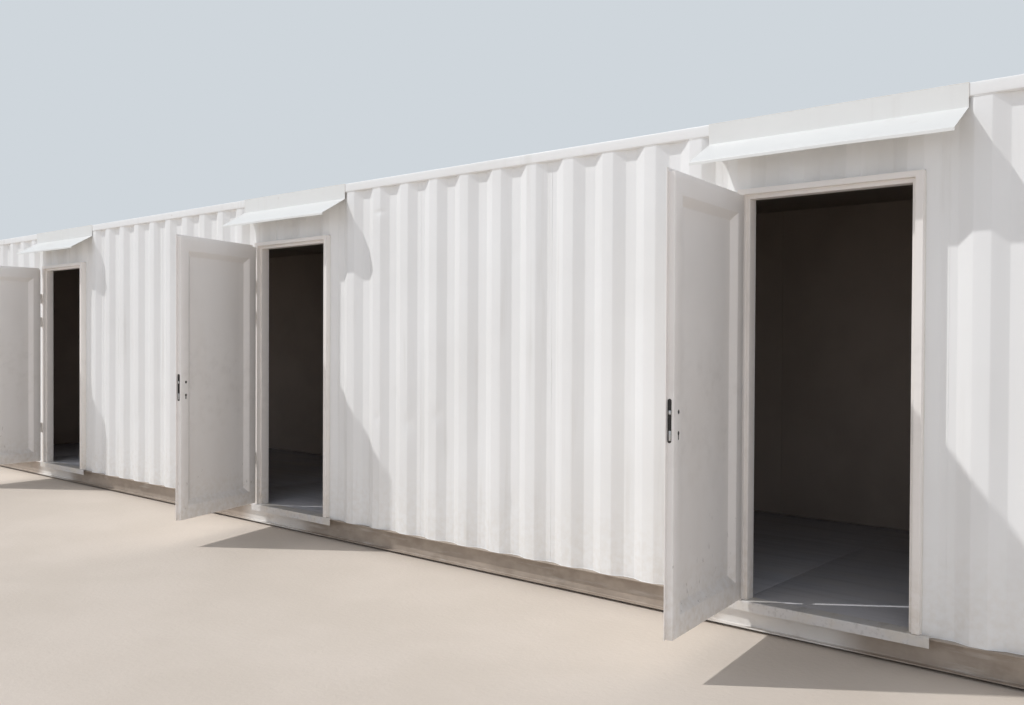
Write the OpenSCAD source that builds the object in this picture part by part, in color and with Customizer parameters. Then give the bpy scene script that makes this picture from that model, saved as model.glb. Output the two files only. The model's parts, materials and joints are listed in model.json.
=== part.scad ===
// Shipping container cabin: a forty foot steel container made into three rooms in a
// row, each with its own outward opening door under a small folded canopy.
// Millimetres, +Z up. The origin is on the ground at the centre of the footprint.
// The door side faces -Y, and +X is to the right when it is seen from the front.

/* [Container] */
// Length over the corner castings
body_l = 12192; // [10000:1:14000]
// Width over the corner castings
body_w = 2438; // [2200:1:3000]
// Height over the corner castings
body_h = 2591; // [2480:1:3200]

/* [Corner castings] */
// Length of a casting along the container
cast_l = 178; // [160:1:200]
// Width of a casting across the container
cast_w = 162; // [150:1:190]
// Height of a casting
cast_h = 118; // [100:1:145]
// Wall of a casting
cast_t = 28; // [20:1:34]
// Wall of a casting on its two inner sides
cast_t_in = 12; // [8:1:16]
// Length of the slot in a casting's top or bottom face
cast_slot_l = 124; // [100:1:128]
// Width of the slot in a casting's top or bottom face
cast_slot_w = 63.5; // [50:0.5:64]
// Length of the upright slot in a casting's side face
cast_side_l = 79; // [60:1:90]
// Width of the upright slot in a casting's side face
cast_side_w = 51; // [40:1:56]
// Distance from the outer end to the centre of a slot
cast_slot_x = 103.5; // [98:0.5:105]
// Distance from the outer side to the centre of a slot
cast_slot_y = 89.5; // [85:0.5:93]

/* [Frame] */
// How far posts and end members stand in from the castings' outer faces
post_inset = 2; // [0:0.5:4]
// Thickness of the folded corner posts
post_t = 6; // [4:0.5:8]
// Depth of the folds at the edges of a corner post
post_fold = 50; // [40:1:62]
// Side of the square top rail
top_rail = 60; // [50:1:70]
// Wall of the top rail
top_rail_t = 4; // [3:0.5:6]
// Drop of the top rail under the castings' top
top_drop = 6; // [4:0.5:12]
// Height of the bottom rail
rail_h = 135; // [120:1:170]
// Height of the bottom rail's underside over the ground
rail_z = 15; // [10:1:20]
// Thickness of the bottom rail
rail_t = 4.5; // [3:0.5:6]
// Width of the bottom rail's upper flange
rail_flange_up = 48; // [44:1:52]
// Width of the bottom rail's lower flange
rail_flange_low = 32; // [20:1:40]

/* [Walls and roof] */
// Length of one wave of the wall sheet
wave = 278; // [230:1:340]
// Flat of the wave on the outer side
wave_out = 72; // [60:1:80]
// Run of the wave's slope
wave_slope = 68; // [40:1:70]
// Depth of the wave
wave_d = 30; // [20:1:36]
// Thickness of the wall and roof sheet
sheet_t = 2; // [1.5:0.5:3]
// How far the outer flats stand in from the castings' outer face
wall_in = 5; // [3:1:12]
// Length of one wave of the roof sheet
roof_wave = 209; // [180:1:260]
// Flat of the roof wave on the upper side
roof_out = 91; // [60:1:100]
// Run of the roof wave's slope
roof_slope = 18; // [10:1:30]
// Depth of the roof wave
roof_d = 20; // [14:1:24]
// Thickness of the flat roof plates between the castings
roof_plate_t = 3; // [2:0.5:6]
// Seam between the waved roof sheet and the flat plates
roof_seam = 1; // [0.5:0.5:3]

/* [Floor and lining] */
// Height of the floor over the bottom rails
floor_up = 10; // [0:1:20]
// Thickness of the floor boards
floor_t = 28; // [18:1:32]
// Thickness of the lining boards
lining_t = 10; // [9:1:16]
// Gap between the corner posts' folds and the lining
lining_gap = 2; // [1:0.5:10]
// Gap between the ceiling boards and the top castings
ceiling_gap = 13; // [5:1:60]
// Distance between cross members
member_pitch = 305; // [280:1:620]
// Flange width of a cross member
member_w = 45; // [35:1:50]
// Thickness of a cross member
member_t = 4; // [3:0.5:5]

/* [Doorways] */
// Centre of the left doorway
door_1_x = -3985; // [-4100:1:-3900]
// Centre of the middle doorway
door_2_x = -126; // [-200:1:200]
// Centre of the right doorway
door_3_x = 4044; // [3900:1:4100]
// Clear width of a doorway between its stops
door_w = 788; // [650:1:1000]
// Clear height of a doorway over the floor
door_h = 2020; // [1900:1:2090]
// Face width of the door frame's posts
frame_w = 35; // [30:1:45]
// Face height of the door frame's head
head_w = 28; // [24:1:45]
// How far the door frame stands out in front of the wall
frame_out = 27; // [20:1:40]
// Width of the stops that the closed leaf lies in front of
stop_w = 20; // [14:1:30]
// Gap from the frame's proud part to the threshold under it
foot_gap = 3; // [2:0.5:8]
// Length of the threshold beyond the clear doorway, each side
sill_over = 96; // [60:1:120]
// Reach of the threshold in front of the wall
sill_out = 25; // [15:1:40]
// Height of the threshold's front lip
sill_lip = 50; // [25:1:60]
// Thickness of the threshold plate
sill_t = 4; // [3:0.5:6]

/* [Door leaves] */
// Thickness of a leaf
leaf_t = 34; // [34:1:50]
// How far the leaf's lip covers the frame at the lock side and the top
lip_w = 16; // [13:1:20]
// Thickness of the lip
lip_t = 3; // [2:0.5:5]
// Gap from the closed leaf's lip to the frame's face
lip_gap = 6; // [5:0.5:8]
// Gap from the closed leaf to the stops
stop_gap = 5; // [5:0.5:8]
// Gap from the leaf to the frame on the hinge side
gap_hinge = 5; // [5:0.5:10]
// Gap from the leaf to the frame on the lock side
gap_lock = 9; // [9:0.5:12]
// Gap over the leaf
gap_top = 10; // [6:0.5:14]
// Gap under the leaf, over the threshold
gap_sill = 18; // [10:1:30]
// Border at the sides of the leaf's inner face
border_side = 75; // [60:1:100]
// Border at the top and bottom of the leaf's inner face
border_end = 95; // [80:1:130]
// Width of the sloping edge of the sunk panel
bevel_w = 40; // [20:1:50]
// Depth of the sunk panel
panel_d = 28; // [15:1:30]
// How far the left door stands open, in degrees
open_1 = 85; // [10:0.5:170]
// How far the middle door stands open, in degrees
open_2 = 73; // [10:0.5:170]
// How far the right door stands open, in degrees
open_3 = 83.5; // [10:0.5:170]

/* [Hinges and lock] */
// Distance of the hinge pin to the side of the opening in front of the stops
pin_side = 21; // [18:1:24]
// Distance of the hinge pin in front of the frame's face
pin_out = 12; // [12:0.5:20]
// Diameter of the hinge pin
pin_d = 10; // [8:0.5:12]
// Running clearance round the hinge pin
pin_gap = 0.3; // [0.2:0.1:0.5]
// Outer diameter of the hinge barrels
barrel_d = 18; // [16:0.5:22]
// Height of each half of a hinge
barrel_h = 50; // [40:1:70]
// Width of the block that is welded between the lower barrel and the frame
block_w = 14; // [10:1:15]
// How far the welded block stays under the top of the lower barrel
block_drop = 6; // [5:0.5:12]
// Thickness of the hinge strap
strap_t = 5; // [4:0.5:5]
// Length of the hinge strap on the leaf
strap_l = 60; // [40:1:90]
// Height of the upper hinge over the floor
hinge_top = 1725; // [1650:1:1800]
// Height of the middle hinge over the floor
hinge_mid = 1480; // [1200:1:1550]
// Height of the lower hinge over the floor
hinge_low = 370; // [200:1:500]
// Height of the handle's spindle hole over the floor
spindle_z = 1000; // [900:1:1100]
// Distance from the spindle hole down to the key cylinder's hole
cylinder_drop = 92; // [72:1:110]
// Distance of both holes from the leaf's free edge
backset = 50; // [40:1:65]
// Diameter of both lock holes
lock_hole_d = 20; // [16:1:24]
// Width of the key cylinder's slot under its round hole
key_w = 11; // [9:1:14]
// Depth of that slot under the round hole's centre
key_drop = 28; // [22:1:32]
// Height of the lock's face plate
face_h = 190; // [180:1:260]
// Width of the lock's face plate
face_w = 18; // [16:1:22]
// Thickness of the lock's face plate
face_t = 2; // [1.5:0.5:2.5]
// Drop of the face plate's centre under the spindle hole
face_drop = 37; // [20:1:60]
// Distance of the face plate from the leaf's lip
face_in = 2; // [1:0.5:5]

/* [Canopies] */
// Width of a canopy
canopy_w = 1250; // [1000:1:1400]
// Height of the canopy's upright plate on the top rail
canopy_plate = 107; // [80:1:130]
// Reach of the canopy in front of the wall
canopy_out = 205; // [150:1:320]
// Fall of the canopy from the fold to its front edge
canopy_fall = 118; // [80:1:160]
// Height of the canopy's front lip
canopy_lip = 16; // [10:1:25]
// Thickness of the canopy sheet
canopy_t = 2.5; // [2:0.5:4]

/* [Hidden] */
$fn = 32;
// Overlap of shapes that are joined or cut in one piece
eps = 1;

paint = "#e9e7e2";
paint_leaf = "#d8d5cf";
rail_paint = "#b9b2a4";
board = "#b8b0a6";
floor_grey = "#8f8d8a";
steel = "#8a8c8e";

half_l = body_l / 2;
half_w = body_w / 2;
front_y = -half_w;
floor_z = rail_z + rail_h;
room_z = floor_z + floor_up;
top_z = body_h - top_drop;
rail_under = top_z - top_rail;
ceiling_z = body_h - cast_h - ceiling_gap - lining_t;
room_h = ceiling_z - room_z;
inner_l = half_l - cast_l;
inner_w = half_w - cast_w;
door_x = [door_1_x, door_2_x, door_3_x];
open_deg = [open_1, open_2, open_3];
// Opening in front of the stops, and the outside of the frame
hole_half = door_w / 2 + stop_w;
hole_top = room_z + door_h + stop_w;
frame_half = hole_half + frame_w;
frame_top = hole_top + head_w;
// Leaf and stops, the first two places measured from the hinge pin
leaf_x = pin_side + gap_hinge;
leaf_y = pin_out - lip_gap - lip_t;
leaf_z = room_z + sill_t + gap_sill;
leaf_w = 2 * hole_half - gap_hinge - gap_lock;
leaf_h = hole_top - gap_top - leaf_z;
stop_y = leaf_y + leaf_t + stop_gap - pin_out - frame_out;
hinge_z = [room_z + hinge_low, room_z + hinge_mid, room_z + hinge_top];
web_in = rail_flange_up;
post_x = cast_l - post_inset;
post_y = cast_w - post_inset;
lining_in = post_inset + post_t + post_fold + lining_gap;
// Finished wall from outside to the lining's face, and the door frame's depth
wall_depth = lining_in + lining_t;
frame_d = wall_depth;

// Depth of the wave at place x: 0 on the outer flat, d on the inner flat.
// An outer flat is centred on x = 0.
function wave_at(x, w, flat, run, d) =
  let (u = abs(x - w * round(x / w)))
  u <= flat / 2 ? 0 : u >= flat / 2 + run ? d : d * (u - flat / 2) / run;

// Places between a and b where the wave changes its slope
function wave_breaks(a, b, w, flat, run) = [
  for (k = [floor(a / w) : ceil(b / w)])
    for (s = [-flat / 2 - run, -flat / 2, flat / 2, flat / 2 + run])
      if (k * w + s > a + 0.5 && k * w + s < b - 0.5) k * w + s
];

// Outline of a waved sheet from a to b, its outer face towards -Y at depth zero
module wave_outline(a, b, w, flat, run, d, t) {
  xs = concat([a], wave_breaks(a, b, w, flat, run), [b]);
  n = len(xs);
  outer = [for (x = xs) [x, wave_at(x, w, flat, run, d)]];
  inner = [for (i = [n - 1 : -1 : 0]) [xs[i], wave_at(xs[i], w, flat, run, d) + t]];
  polygon(concat(outer, inner));
}

// Upright waved wall sheet on the front side, from x = a to b and z = z0 to z1
module wall_sheet(a, b, z0, z1) {
  translate([0, front_y + wall_in, z0])
    linear_extrude(z1 - z0)
      wave_outline(a, b, wave, wave_out, wave_slope, wave_d, sheet_t);
}

// Copies at the four corners, made for the corner at -X, -Y
module four_corners() {
  for (mx = [0, 1])
    for (my = [0, 1])
      mirror([mx, 0, 0])
        mirror([0, my, 0])
          children();
}

// Slot of length l and width w, cut along z through depth h
module slot(l, w, h) {
  linear_extrude(h)
    union() {
      square([l - w, w], center = true);
      for (s = [-1, 1])
        translate([s * (l - w) / 2, 0])
          circle(d = w);
    }
}

// One hollow casting with a slot in its level face and in both outer faces
module casting() {
  up = cast_h / 2;
  difference() {
    cube([cast_l, cast_w, cast_h]);
    translate([cast_t, cast_t, cast_t])
      cube([cast_l - cast_t - cast_t_in, cast_w - cast_t - cast_t_in, cast_h - 2 * cast_t]);
    translate([cast_slot_x, cast_slot_y, -eps])
      slot(cast_slot_l, cast_slot_w, cast_t + 2 * eps);
    translate([cast_slot_x, -eps, up])
      rotate([-90, 90, 0])
        slot(cast_side_l, cast_side_w, cast_t + 2 * eps);
    translate([-eps, cast_slot_y, up])
      rotate([0, 90, 0])
        slot(cast_side_l, cast_side_w, cast_t + 2 * eps);
  }
}

module corner_castings_bottom() {
  color(paint)
    four_corners()
      translate([-half_l, -half_w, 0])
        casting();
}

module corner_castings_top() {
  color(paint)
    four_corners()
      translate([-half_l, -half_w, body_h])
        mirror([0, 0, 1])
          casting();
}

// Folded posts: two wide faces with a return at each edge
module corner_posts() {
  u = post_x;
  v = post_y;
  t = post_t;
  f = post_fold + t;
  color(paint)
    four_corners()
      translate([-half_l + post_inset, -half_w + post_inset, cast_h])
        linear_extrude(body_h - 2 * cast_h)
          polygon([[0, 0], [u, 0], [u, f], [u - t, f], [u - t, t], [t, t],
                   [t, v - t], [f, v - t], [f, v], [0, v]]);
}

// Channel whose flanges point outward, under the wall sheet
module bottom_rail() {
  w = web_in;
  low = web_in - rail_flange_low;
  t = rail_t;
  translate([-inner_l, front_y, 0])
    rotate([90, 0, 90])
      linear_extrude(2 * inner_l)
        polygon([[low, rail_z], [w + t, rail_z], [w + t, floor_z], [0, floor_z],
                 [0, floor_z - t], [w, floor_z - t], [w, rail_z + t], [low, rail_z + t]]);
}

module bottom_rail_front() {
  color(rail_paint)
    bottom_rail();
}

module bottom_rail_back() {
  color(rail_paint)
    mirror([0, 1, 0])
      bottom_rail();
}

// End channels between the bottom castings, flanges outward as on the side rails
module end_sills() {
  w = web_in;
  low = web_in - rail_flange_low;
  t = rail_t;
  color(rail_paint)
    for (m = [0, 1])
      mirror([m, 0, 0])
        translate([-half_l, inner_w, 0])
          rotate([90, 0, 0])
            linear_extrude(2 * inner_w)
              polygon([[low, rail_z], [w + t, rail_z], [w + t, floor_z], [0, floor_z],
                       [0, floor_z - t], [w, floor_z - t], [w, rail_z + t], [low, rail_z + t]]);
}

// Square tube from one casting to the other
module top_tube() {
  difference() {
    translate([-inner_l, front_y, rail_under])
      cube([2 * inner_l, top_rail, top_rail]);
    translate([-inner_l - eps, front_y + top_rail_t, rail_under + top_rail_t])
      cube([2 * inner_l + 2 * eps, top_rail - 2 * top_rail_t, top_rail - 2 * top_rail_t]);
  }
}

module top_rail_front() {
  color(paint)
    top_tube();
}

module top_rail_back() {
  color(paint)
    mirror([0, 1, 0])
      top_tube();
}

// Square tubes across the ends, between the top castings
module end_headers() {
  bore = top_rail - 2 * top_rail_t;
  color(paint)
    for (m = [0, 1])
      mirror([m, 0, 0])
        difference() {
          translate([-half_l, -inner_w, rail_under])
            cube([top_rail, 2 * inner_w, top_rail]);
          translate([-half_l + top_rail_t, -inner_w - eps, rail_under + top_rail_t])
            cube([bore, 2 * inner_w + 2 * eps, bore]);
        }
}

// Channels that carry the floor, from one bottom rail to the other
module cross_members() {
  y0 = web_in + rail_t;
  h = room_z - floor_t - rail_z;
  run = 2 * (inner_l - member_w);
  n = round(run / member_pitch);
  t = member_t;
  w = member_w;
  color(rail_paint)
    for (i = [0 : n])
      translate([-inner_l + w / 2 + i * run / n, half_w - y0, rail_z])
        rotate([90, 0, 0])
          linear_extrude(body_w - 2 * y0)
            polygon([[0, 0], [w, 0], [w, t], [t, t], [t, h - t], [w, h - t], [w, h], [0, h]]);
}

// Boards from rail to rail, notched round the posts and clear of the castings' tops
module floor() {
  y0 = web_in + rail_t;
  color(floor_grey)
    difference() {
      translate([-half_l + y0, -half_w + y0, room_z - floor_t])
        cube([body_l - 2 * y0, body_w - 2 * y0, floor_t]);
      four_corners()
        translate([-half_l, -half_w, 0]) {
          cube([cast_l + eps, lining_in, room_z + eps]);
          cube([lining_in, cast_w + eps, room_z + eps]);
          cube([cast_l + eps, cast_w + eps, cast_h + eps]);
        }
    }
}

// Sheet with waves across the container, and a flat plate at each end
module roof() {
  x0 = inner_l - roof_seam;
  y0 = half_w - top_rail;
  color(paint) {
    translate([0, y0, top_z])
      rotate([90, 0, 0])
        linear_extrude(2 * y0)
          mirror([0, 1])
            wave_outline(-x0, x0, roof_wave, roof_out, roof_slope, roof_d, sheet_t);
    for (m = [0, 1])
      mirror([m, 0, 0])
        translate([-half_l + top_rail, -inner_w, top_z - roof_plate_t])
          cube([cast_l - top_rail, 2 * inner_w, roof_plate_t]);
  }
}

// Wall pieces beside the doorways, from left to right
module front_wall(k) {
  from = k == 0 ? -inner_l : door_x[k - 1] + frame_half;
  to = k == 3 ? inner_l : door_x[k] - frame_half;
  color(paint)
    wall_sheet(from, to, floor_z, rail_under);
}

module front_wall_1() { front_wall(0); }
module front_wall_2() { front_wall(1); }
module front_wall_3() { front_wall(2); }
module front_wall_4() { front_wall(3); }

// Wall piece over a doorway
module door_header(k) {
  color(paint)
    wall_sheet(door_x[k] - frame_half, door_x[k] + frame_half, frame_top, rail_under);
}

module door_header_1() { door_header(0); }
module door_header_2() { door_header(1); }
module door_header_3() { door_header(2); }

module back_wall() {
  color(paint)
    mirror([0, 1, 0])
      wall_sheet(-inner_l, inner_l, floor_z, rail_under);
}

// Waved sheet across one end, between the corner posts
module end_wall() {
  translate([-half_l + wall_in, 0, floor_z])
    mirror([1, 0, 0])
      rotate([0, 0, 90])
        linear_extrude(rail_under - floor_z)
          wave_outline(-inner_w, inner_w, wave, wave_out, wave_slope, wave_d, sheet_t);
}

module end_wall_left() {
  color(paint)
    end_wall();
}

module end_wall_right() {
  color(paint)
    mirror([1, 0, 0])
      end_wall();
}

// Boards between and beside the door frames
module lining_front() {
  edge = half_l - wall_depth;
  color(board)
    for (k = [0 : 3]) {
      from = k == 0 ? -edge : door_x[k - 1] + frame_half;
      to = k == 3 ? edge : door_x[k] - frame_half;
      translate([from, front_y + lining_in, room_z])
        cube([to - from, lining_t, room_h]);
    }
}

// Boards over the door frames
module lining_headers() {
  color(board)
    for (x = door_x)
      translate([x - frame_half, front_y + lining_in, frame_top])
        cube([2 * frame_half, lining_t, ceiling_z - frame_top]);
}

module lining_back() {
  edge = half_l - wall_depth;
  color(board)
    translate([-edge, half_w - wall_depth, room_z])
      cube([2 * edge, lining_t, room_h]);
}

module lining_ends() {
  color(board)
    for (m = [0, 1])
      mirror([m, 0, 0])
        translate([-half_l + lining_in, -half_w + lining_in, room_z])
          cube([lining_t, body_w - 2 * lining_in, room_h]);
}

module ceiling() {
  color(board)
    translate([-half_l + lining_in, -half_w + lining_in, ceiling_z])
      cube([body_l - 2 * lining_in, body_w - 2 * lining_in, lining_t]);
}

// Places a child made round the hinge pin of doorway k, at the closed position
module at_pin(k) {
  translate([door_x[k] - hole_half - pin_side, front_y - frame_out - pin_out, 0])
    children();
}

// Lower half of a hinge: barrel, pin and the block that is welded to the frame
module hinge_fixed() {
  translate([0, 0, -barrel_h]) {
    cylinder(h = barrel_h, d = barrel_d);
    cylinder(h = 2 * barrel_h - pin_d, d = pin_d);
    translate([-block_w / 2, 0, 0])
      cube([block_w, pin_out + eps, barrel_h - block_drop]);
  }
}

// Upper half of a hinge: barrel, strap and the packing on the leaf's outer face
module hinge_moving() {
  reach = leaf_x + strap_l;
  translate([0, 0, pin_gap])
    difference() {
      union() {
        cylinder(h = barrel_h, d = barrel_d);
        translate([0, -strap_t / 2, 0])
          cube([reach, strap_t, barrel_h]);
        translate([reach - strap_l + 2 * gap_hinge, -strap_t / 2, 0])
          cube([strap_l - 2 * gap_hinge, strap_t / 2 + leaf_y + eps, barrel_h]);
      }
      translate([0, 0, -eps])
        cylinder(h = barrel_h + 2 * eps, d = pin_d + 2 * pin_gap);
    }
}

// Posts and head with stops, proud of the wall, and the fixed hinge halves on the left
module door_frame(k) {
  x = door_x[k];
  y = front_y - frame_out;
  deep = frame_out + frame_d;
  color(paint_leaf)
    union() {
      difference() {
        translate([x - frame_half, y, room_z])
          cube([2 * frame_half, deep, frame_top - room_z]);
        translate([x - hole_half, y - eps, room_z - eps])
          cube([2 * hole_half, frame_out + stop_y + eps, hole_top - room_z + eps]);
        translate([x - door_w / 2, y - eps, room_z - eps])
          cube([door_w, deep + 2 * eps, door_h + eps]);
        translate([x - frame_half - eps, y - eps, room_z - eps])
          cube([2 * (frame_half + eps), frame_out + eps, sill_t + foot_gap + eps]);
      }
      at_pin(k)
        for (z = hinge_z)
          translate([0, 0, z])
            hinge_fixed();
    }
}

module door_frame_1() { door_frame(0); }
module door_frame_2() { door_frame(1); }
module door_frame_3() { door_frame(2); }

// Plate in the doorway, wider in front of the stops, with a strip and a lip in front
module threshold(k) {
  half = door_w / 2;
  color(floor_grey)
    translate([door_x[k], front_y, room_z])
      union() {
        translate([-half, -sill_out, 0])
          cube([door_w, sill_out + frame_d, sill_t]);
        translate([-hole_half, -sill_out, 0])
          cube([2 * hole_half, sill_out + stop_y, sill_t]);
        translate([-half - sill_over, -sill_out, 0])
          cube([door_w + 2 * sill_over, sill_out, sill_t]);
        translate([-half - sill_over, -sill_out, sill_t - sill_lip])
          cube([door_w + 2 * sill_over, sill_t, sill_lip]);
      }
}

module threshold_1() { threshold(0); }
module threshold_2() { threshold(1); }
module threshold_3() { threshold(2); }

// Folded sheet: upright plate, sloping top and front lip
module canopy(k) {
  t = canopy_t;
  y0 = -canopy_out;
  z0 = top_z - canopy_plate;
  z1 = z0 - canopy_fall;
  color(paint)
    translate([door_x[k] - canopy_w / 2, front_y, 0])
      rotate([90, 0, 90])
        linear_extrude(canopy_w)
          polygon([[0, top_z], [-t, top_z], [-t, z0], [y0, z1], [y0, z1 - canopy_lip],
                   [y0 + t, z1 - canopy_lip], [y0 + t, z1 - t], [0, z0 - t]]);
}

module canopy_1() { canopy(0); }
module canopy_2() { canopy(1); }
module canopy_3() { canopy(2); }

// Leaf in the closed position, measured from its hinge pin, with its lip in front
module leaf_body() {
  difference() {
    translate([leaf_x, leaf_y, leaf_z])
      union() {
        cube([leaf_w, leaf_t, leaf_h]);
        cube([leaf_w + lip_w, lip_t, leaf_h + lip_w]);
      }
    sunk_panel();
    lock_holes();
  }
}

// The sunk panel's flat bottom and its four sloping edges
module sunk_panel() {
  a = border_side;
  b = border_end;
  y1 = leaf_y + leaf_t;
  intersection() {
    translate([leaf_x + a, 0, leaf_z])
      linear_extrude(leaf_h)
        polygon([[0, y1 + eps], [0, y1], [bevel_w, y1 - panel_d],
                 [leaf_w - 2 * a - bevel_w, y1 - panel_d], [leaf_w - 2 * a, y1],
                 [leaf_w - 2 * a, y1 + eps]]);
    translate([leaf_x, 0, leaf_z + b])
      rotate([90, 0, 90])
        linear_extrude(leaf_w)
          polygon([[y1 + eps, 0], [y1, 0], [y1 - panel_d, bevel_w],
                   [y1 - panel_d, leaf_h - 2 * b - bevel_w], [y1, leaf_h - 2 * b],
                   [y1 + eps, leaf_h - 2 * b]]);
  }
}

// Holes for the spindle and the key cylinder, which is round with a slot below
module lock_holes() {
  translate([leaf_x + leaf_w - backset, leaf_y - eps, room_z + spindle_z]) {
    rotate([-90, 0, 0])
      cylinder(h = leaf_t + 2 * eps, d = lock_hole_d);
    translate([0, 0, -cylinder_drop])
      rotate([-90, 0, 0])
        cylinder(h = leaf_t + 2 * eps, d = lock_hole_d);
    translate([-key_w / 2, 0, -cylinder_drop - key_drop])
      cube([key_w, leaf_t + 2 * eps, key_drop]);
  }
}

module door_leaf(k) {
  color(paint_leaf)
    at_pin(k)
      rotate([0, 0, -open_deg[k]])
        union() {
          leaf_body();
          for (z = hinge_z)
            translate([0, 0, z])
              hinge_moving();
        }
}

module door_leaf_1() { door_leaf(0); }
module door_leaf_2() { door_leaf(1); }
module door_leaf_3() { door_leaf(2); }

// Face plate of the mortise lock on the leaf's free edge, beside the lip
module lock(k) {
  color(steel)
    at_pin(k)
      rotate([0, 0, -open_deg[k]])
        translate([leaf_x + leaf_w, leaf_y + lip_t + face_in,
                   room_z + spindle_z - face_drop - face_h / 2])
          cube([face_t, face_w, face_h]);
}

module lock_1() { lock(0); }
module lock_2() { lock(1); }
module lock_3() { lock(2); }

corner_castings_bottom();
corner_castings_top();
corner_posts();
bottom_rail_front();
bottom_rail_back();
end_sills();
top_rail_front();
top_rail_back();
end_headers();
cross_members();
floor();
roof();
front_wall_1();
front_wall_2();
front_wall_3();
front_wall_4();
door_header_1();
door_header_2();
door_header_3();
back_wall();
end_wall_left();
end_wall_right();
lining_front();
lining_headers();
lining_back();
lining_ends();
ceiling();
door_frame_1();
door_frame_2();
door_frame_3();
threshold_1();
threshold_2();
threshold_3();
canopy_1();
canopy_2();
canopy_3();
door_leaf_1();
door_leaf_2();
door_leaf_3();
lock_1();
lock_2();
lock_3();
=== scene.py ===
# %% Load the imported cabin
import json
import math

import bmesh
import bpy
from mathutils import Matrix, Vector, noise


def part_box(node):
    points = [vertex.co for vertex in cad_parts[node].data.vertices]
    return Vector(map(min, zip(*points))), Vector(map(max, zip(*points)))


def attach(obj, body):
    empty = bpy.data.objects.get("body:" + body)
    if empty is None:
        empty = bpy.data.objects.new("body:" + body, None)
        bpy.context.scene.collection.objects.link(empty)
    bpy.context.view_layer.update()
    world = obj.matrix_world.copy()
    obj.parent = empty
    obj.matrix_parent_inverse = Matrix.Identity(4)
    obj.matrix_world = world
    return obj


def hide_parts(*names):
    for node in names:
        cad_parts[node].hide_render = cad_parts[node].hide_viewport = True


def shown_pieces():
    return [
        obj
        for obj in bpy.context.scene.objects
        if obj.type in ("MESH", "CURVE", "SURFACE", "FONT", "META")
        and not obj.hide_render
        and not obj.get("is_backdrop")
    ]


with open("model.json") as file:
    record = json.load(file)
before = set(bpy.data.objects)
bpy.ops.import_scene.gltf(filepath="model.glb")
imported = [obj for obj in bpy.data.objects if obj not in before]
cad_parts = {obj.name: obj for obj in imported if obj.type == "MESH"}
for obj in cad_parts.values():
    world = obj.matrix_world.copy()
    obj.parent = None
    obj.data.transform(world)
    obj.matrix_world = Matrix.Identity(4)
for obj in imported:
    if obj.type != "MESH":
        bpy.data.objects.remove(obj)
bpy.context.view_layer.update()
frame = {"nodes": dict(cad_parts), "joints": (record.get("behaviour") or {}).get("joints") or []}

# %% [markdown]
# # A forty foot container made into a row of rooms
#
# The cabin is a steel box with waved walls. Three doorways are cut into its long side, and each
# has a rebated steel frame, a steel leaf, a threshold and a small folded canopy.
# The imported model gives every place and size. This lesson dresses it: it bends the sheets with
# real bend radii, dents them, cuts the locks, hangs the leaves on turned hinges and mixes each
# paint. Everything is in metres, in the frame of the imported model: +X runs along the cabin, the
# doors look towards -Y, and the ground is at zero height.

MM = 0.001

# %% [markdown]
# ## Colours and nodes
#
# A paint card gives its colours as sRGB hex values, but a shader works with linear light. One
# function turns the first into the second. A second small function adds a node with its settings
# and its links, so that each material below reads as a list of layers.

# %% Colour and node helpers
def linear(colour):
    """An sRGB hex colour as linear red, green, blue and alpha."""
    parts = [int(colour[i:i + 2], 16) / 255 for i in (1, 3, 5)]
    return [c / 12.92 if c <= 0.04045 else ((c + 0.055) / 1.055) ** 2.4 for c in parts] + [1]


def add(tree, kind, inputs=None, **settings):
    """One node: settings are its properties, inputs are values or sockets to link."""
    node = tree.nodes.new("ShaderNode" + kind)
    for name, value in settings.items():
        setattr(node, name, value)
    for name, value in (inputs or {}).items():
        if isinstance(value, bpy.types.NodeSocket):
            tree.links.new(value, node.inputs[name])
        else:
            node.inputs[name].default_value = value
    return node


print("white enamel in linear light:", [round(c, 3) for c in linear("#eceae6")])

# %% [markdown]
# ## What every finish is made of
#
# Old paint is never one colour. It has the pigment, faint clouds where the coat is thicker,
# streaks where rain has run down, and dust that splashes up from the ground. Each is a second
# colour laid over the first through one or more masks. Masks could be painted by hand on an
# unfolded surface, but a noise in the cabin's own millimetres needs no unfolding and wraps round
# every side. So each helper below describes a mask, and `finish` lays the colours in order.

# %% Masks
def graded(value, none, full, soft=True):
    """A mask from a value that varies from place to place, 0 at none and 1 at full."""
    def mask(tree, place):
        limits = {"Value": value(tree, place), "From Min": none, "From Max": full}
        way = "SMOOTHSTEP" if soft else "LINEAR"
        return add(tree, "MapRange", limits, interpolation_type=way).outputs["Result"]
    return mask


def pattern(size_mm, none, full, stretch=(1, 1, 1), detail=3.0):
    """A mask from noise: its cells have that size, drawn out where stretch is small."""
    def cells(tree, place):
        grid = add(tree, "Mapping", {"Vector": place, "Scale": stretch}).outputs["Vector"]
        return add(tree, "TexNoise", {"Vector": grid, "Scale": 1000 / size_mm,
                                      "Detail": detail, "Roughness": 0.55}).outputs["Fac"]
    return graded(cells, none, full)


def by_height(none, full):
    """A mask by height over the ground, in metres."""
    def height(tree, place):
        return add(tree, "SeparateXYZ", {"Vector": place}).outputs["Z"]
    return graded(height, none, full)


def beside(x, none, full):
    """A mask by distance along the cabin from x, in metres."""
    def distance(tree, place):
        along = add(tree, "SeparateXYZ", {"Vector": place}).outputs["X"]
        away = add(tree, "Math", {0: along, 1: x}, operation="SUBTRACT").outputs[0]
        return add(tree, "Math", {0: away}, operation="ABSOLUTE").outputs[0]
    return graded(distance, none, full)


def spots(apart_mm, none, full):
    """A mask of round spots, about so far apart, with hard edges."""
    def distance(tree, place):
        cells = add(tree, "TexVoronoi", {"Vector": place, "Scale": 1000 / apart_mm})
        return cells.outputs["Distance"]
    return graded(distance, none, full, soft=False)


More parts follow.
